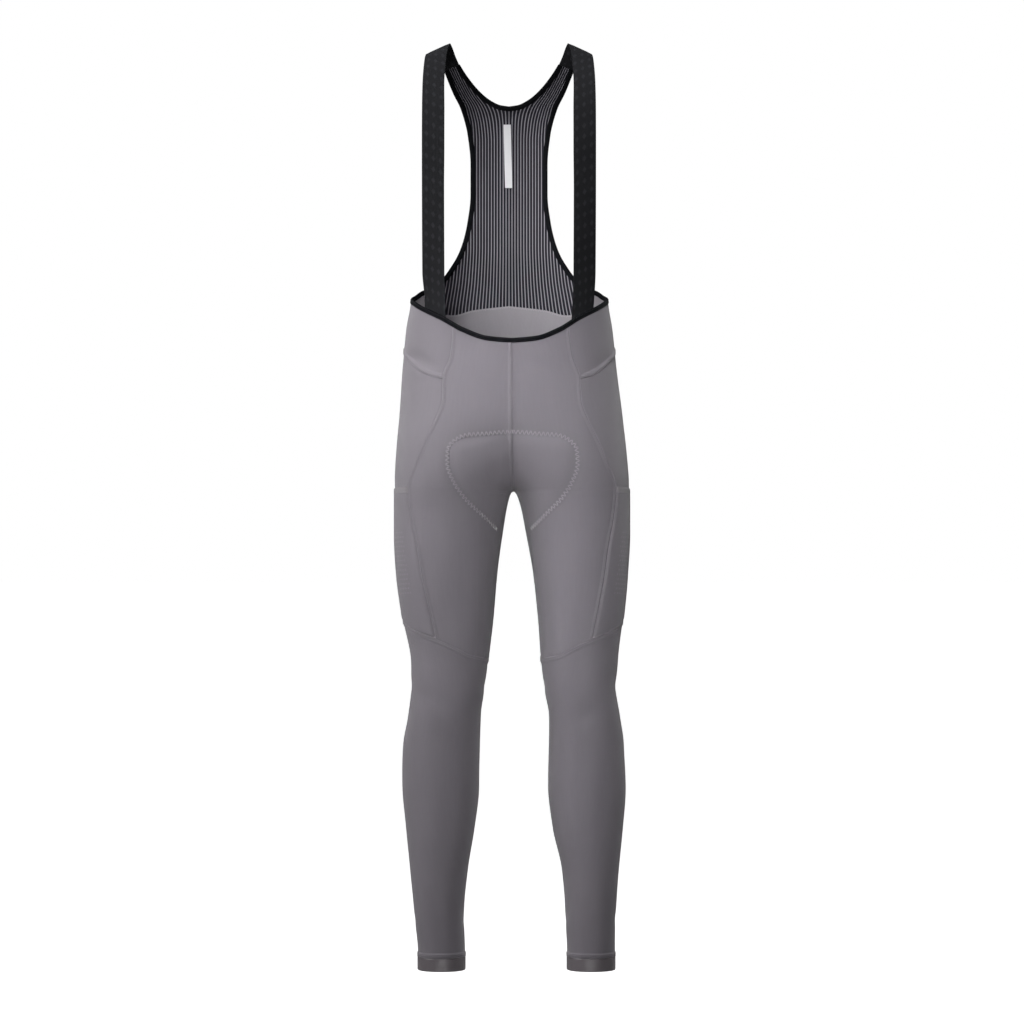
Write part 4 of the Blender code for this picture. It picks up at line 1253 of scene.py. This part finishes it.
def add_stitches(name, slot, guides, material, pitch, length, radius, slant=0.0):
    """Stitches along guide lines, made by the tree and turned into a plain mesh."""
    points, edges, lifts = [], [], []
    for line, away in guides:
        first = sum(len(p) for p in points)
        points.append(line + away * radius)
        lifts.append(away)
        edges += [(first + i, first + i + 1) for i in range(len(line) - 1)]
    guide_mesh = bpy.data.meshes.new(name + "_guide")
    guide_mesh.from_pydata((np.concatenate(points) * MM).tolist(), edges, [])
    attribute = guide_mesh.attributes.new("away", "FLOAT_VECTOR", "POINT")
    attribute.data.foreach_set("vector", np.concatenate(lifts).astype(np.float32).ravel())
    guide = add_object(name + "_guide", guide_mesh)
    modifier = guide.modifiers.new("stitches", "NODES")
    modifier.node_group = stitch_tree
    sizes = dict(zip(STITCH_SOCKETS, (pitch * MM, length * MM, radius * MM, slant)))
    sizes["Thread"] = material
    for item in stitch_tree.interface.items_tree:
        if item.in_out == "INPUT" and item.name in sizes:
            modifier[item.identifier] = sizes[item.name]
    depsgraph = bpy.context.evaluated_depsgraph_get()
    baked = bpy.data.meshes.new_from_object(guide.evaluated_get(depsgraph))
    baked.name = name
    bpy.data.objects.remove(guide)
    piece = add_object(name, baked)
    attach(piece, "root")


def add_zigzag(name, guides, material, pitch, width, radius):
    """Stitches that run from side to side of their guide line."""
    length, slant = np.hypot(width, pitch), np.arctan2(width, pitch)
    add_stitches(name, "thread", guides, material, pitch, length, radius, slant)


grey_thread = thread_material("grey_sewing_thread", THREAD_GREY)
pad_thread = thread_material("pale_pad_thread", PAD_THREAD)
black_thread = thread_material("black_binding_thread", BINDING_THREAD)
pale_thread = thread_material("pale_overlock_thread", OVERLOCK_PALE)
add_stitches(
    "seam_stitches", "thread", seam_guides, grey_thread, STITCH_PITCH, STITCH_LENGTH, THREAD_RADIUS,
)
add_stitches("binding_stitches", "binding", binding_guides, black_thread, *BINDING_STITCH)

overlock_guides = []
for side in (1, -1):
    seam_line = mesh_halves[side][0]
    inward = -outward(seam_line)
    below = np.array([0.0, 0.0, -OVERLOCK_DROP * OVERLOCK_WIDTH])
    overlock_guides.append((seam_line + below + inward * CLOTH_WALL, inward))
add_zigzag(
    "overlocked_seam", overlock_guides, pale_thread, OVERLOCK_PITCH, OVERLOCK_WIDTH, OVERLOCK_RADIUS,
)

pad_guides = []
for table, facing_way in ((PAD_FRONT, -1), (PAD_BACK, 1)):
    side_line = along_table(table, PAD_LINE_POINTS)
    for side in (-1, 1):
        on_form = flat_point(side, side_line[:, 0], side_line[:, 1], facing_way)
        away = outward(on_form)
        relief = crease_relief(on_form, away) + pad_relief(on_form, away)
        pad_guides.append((on_form + away * (relief + ZIGZAG_LIFT)[:, None], away))
add_zigzag("pad_zigzag", pad_guides, pad_thread, ZIGZAG_PITCH, ZIGZAG_WIDTH, ZIGZAG_RADIUS)
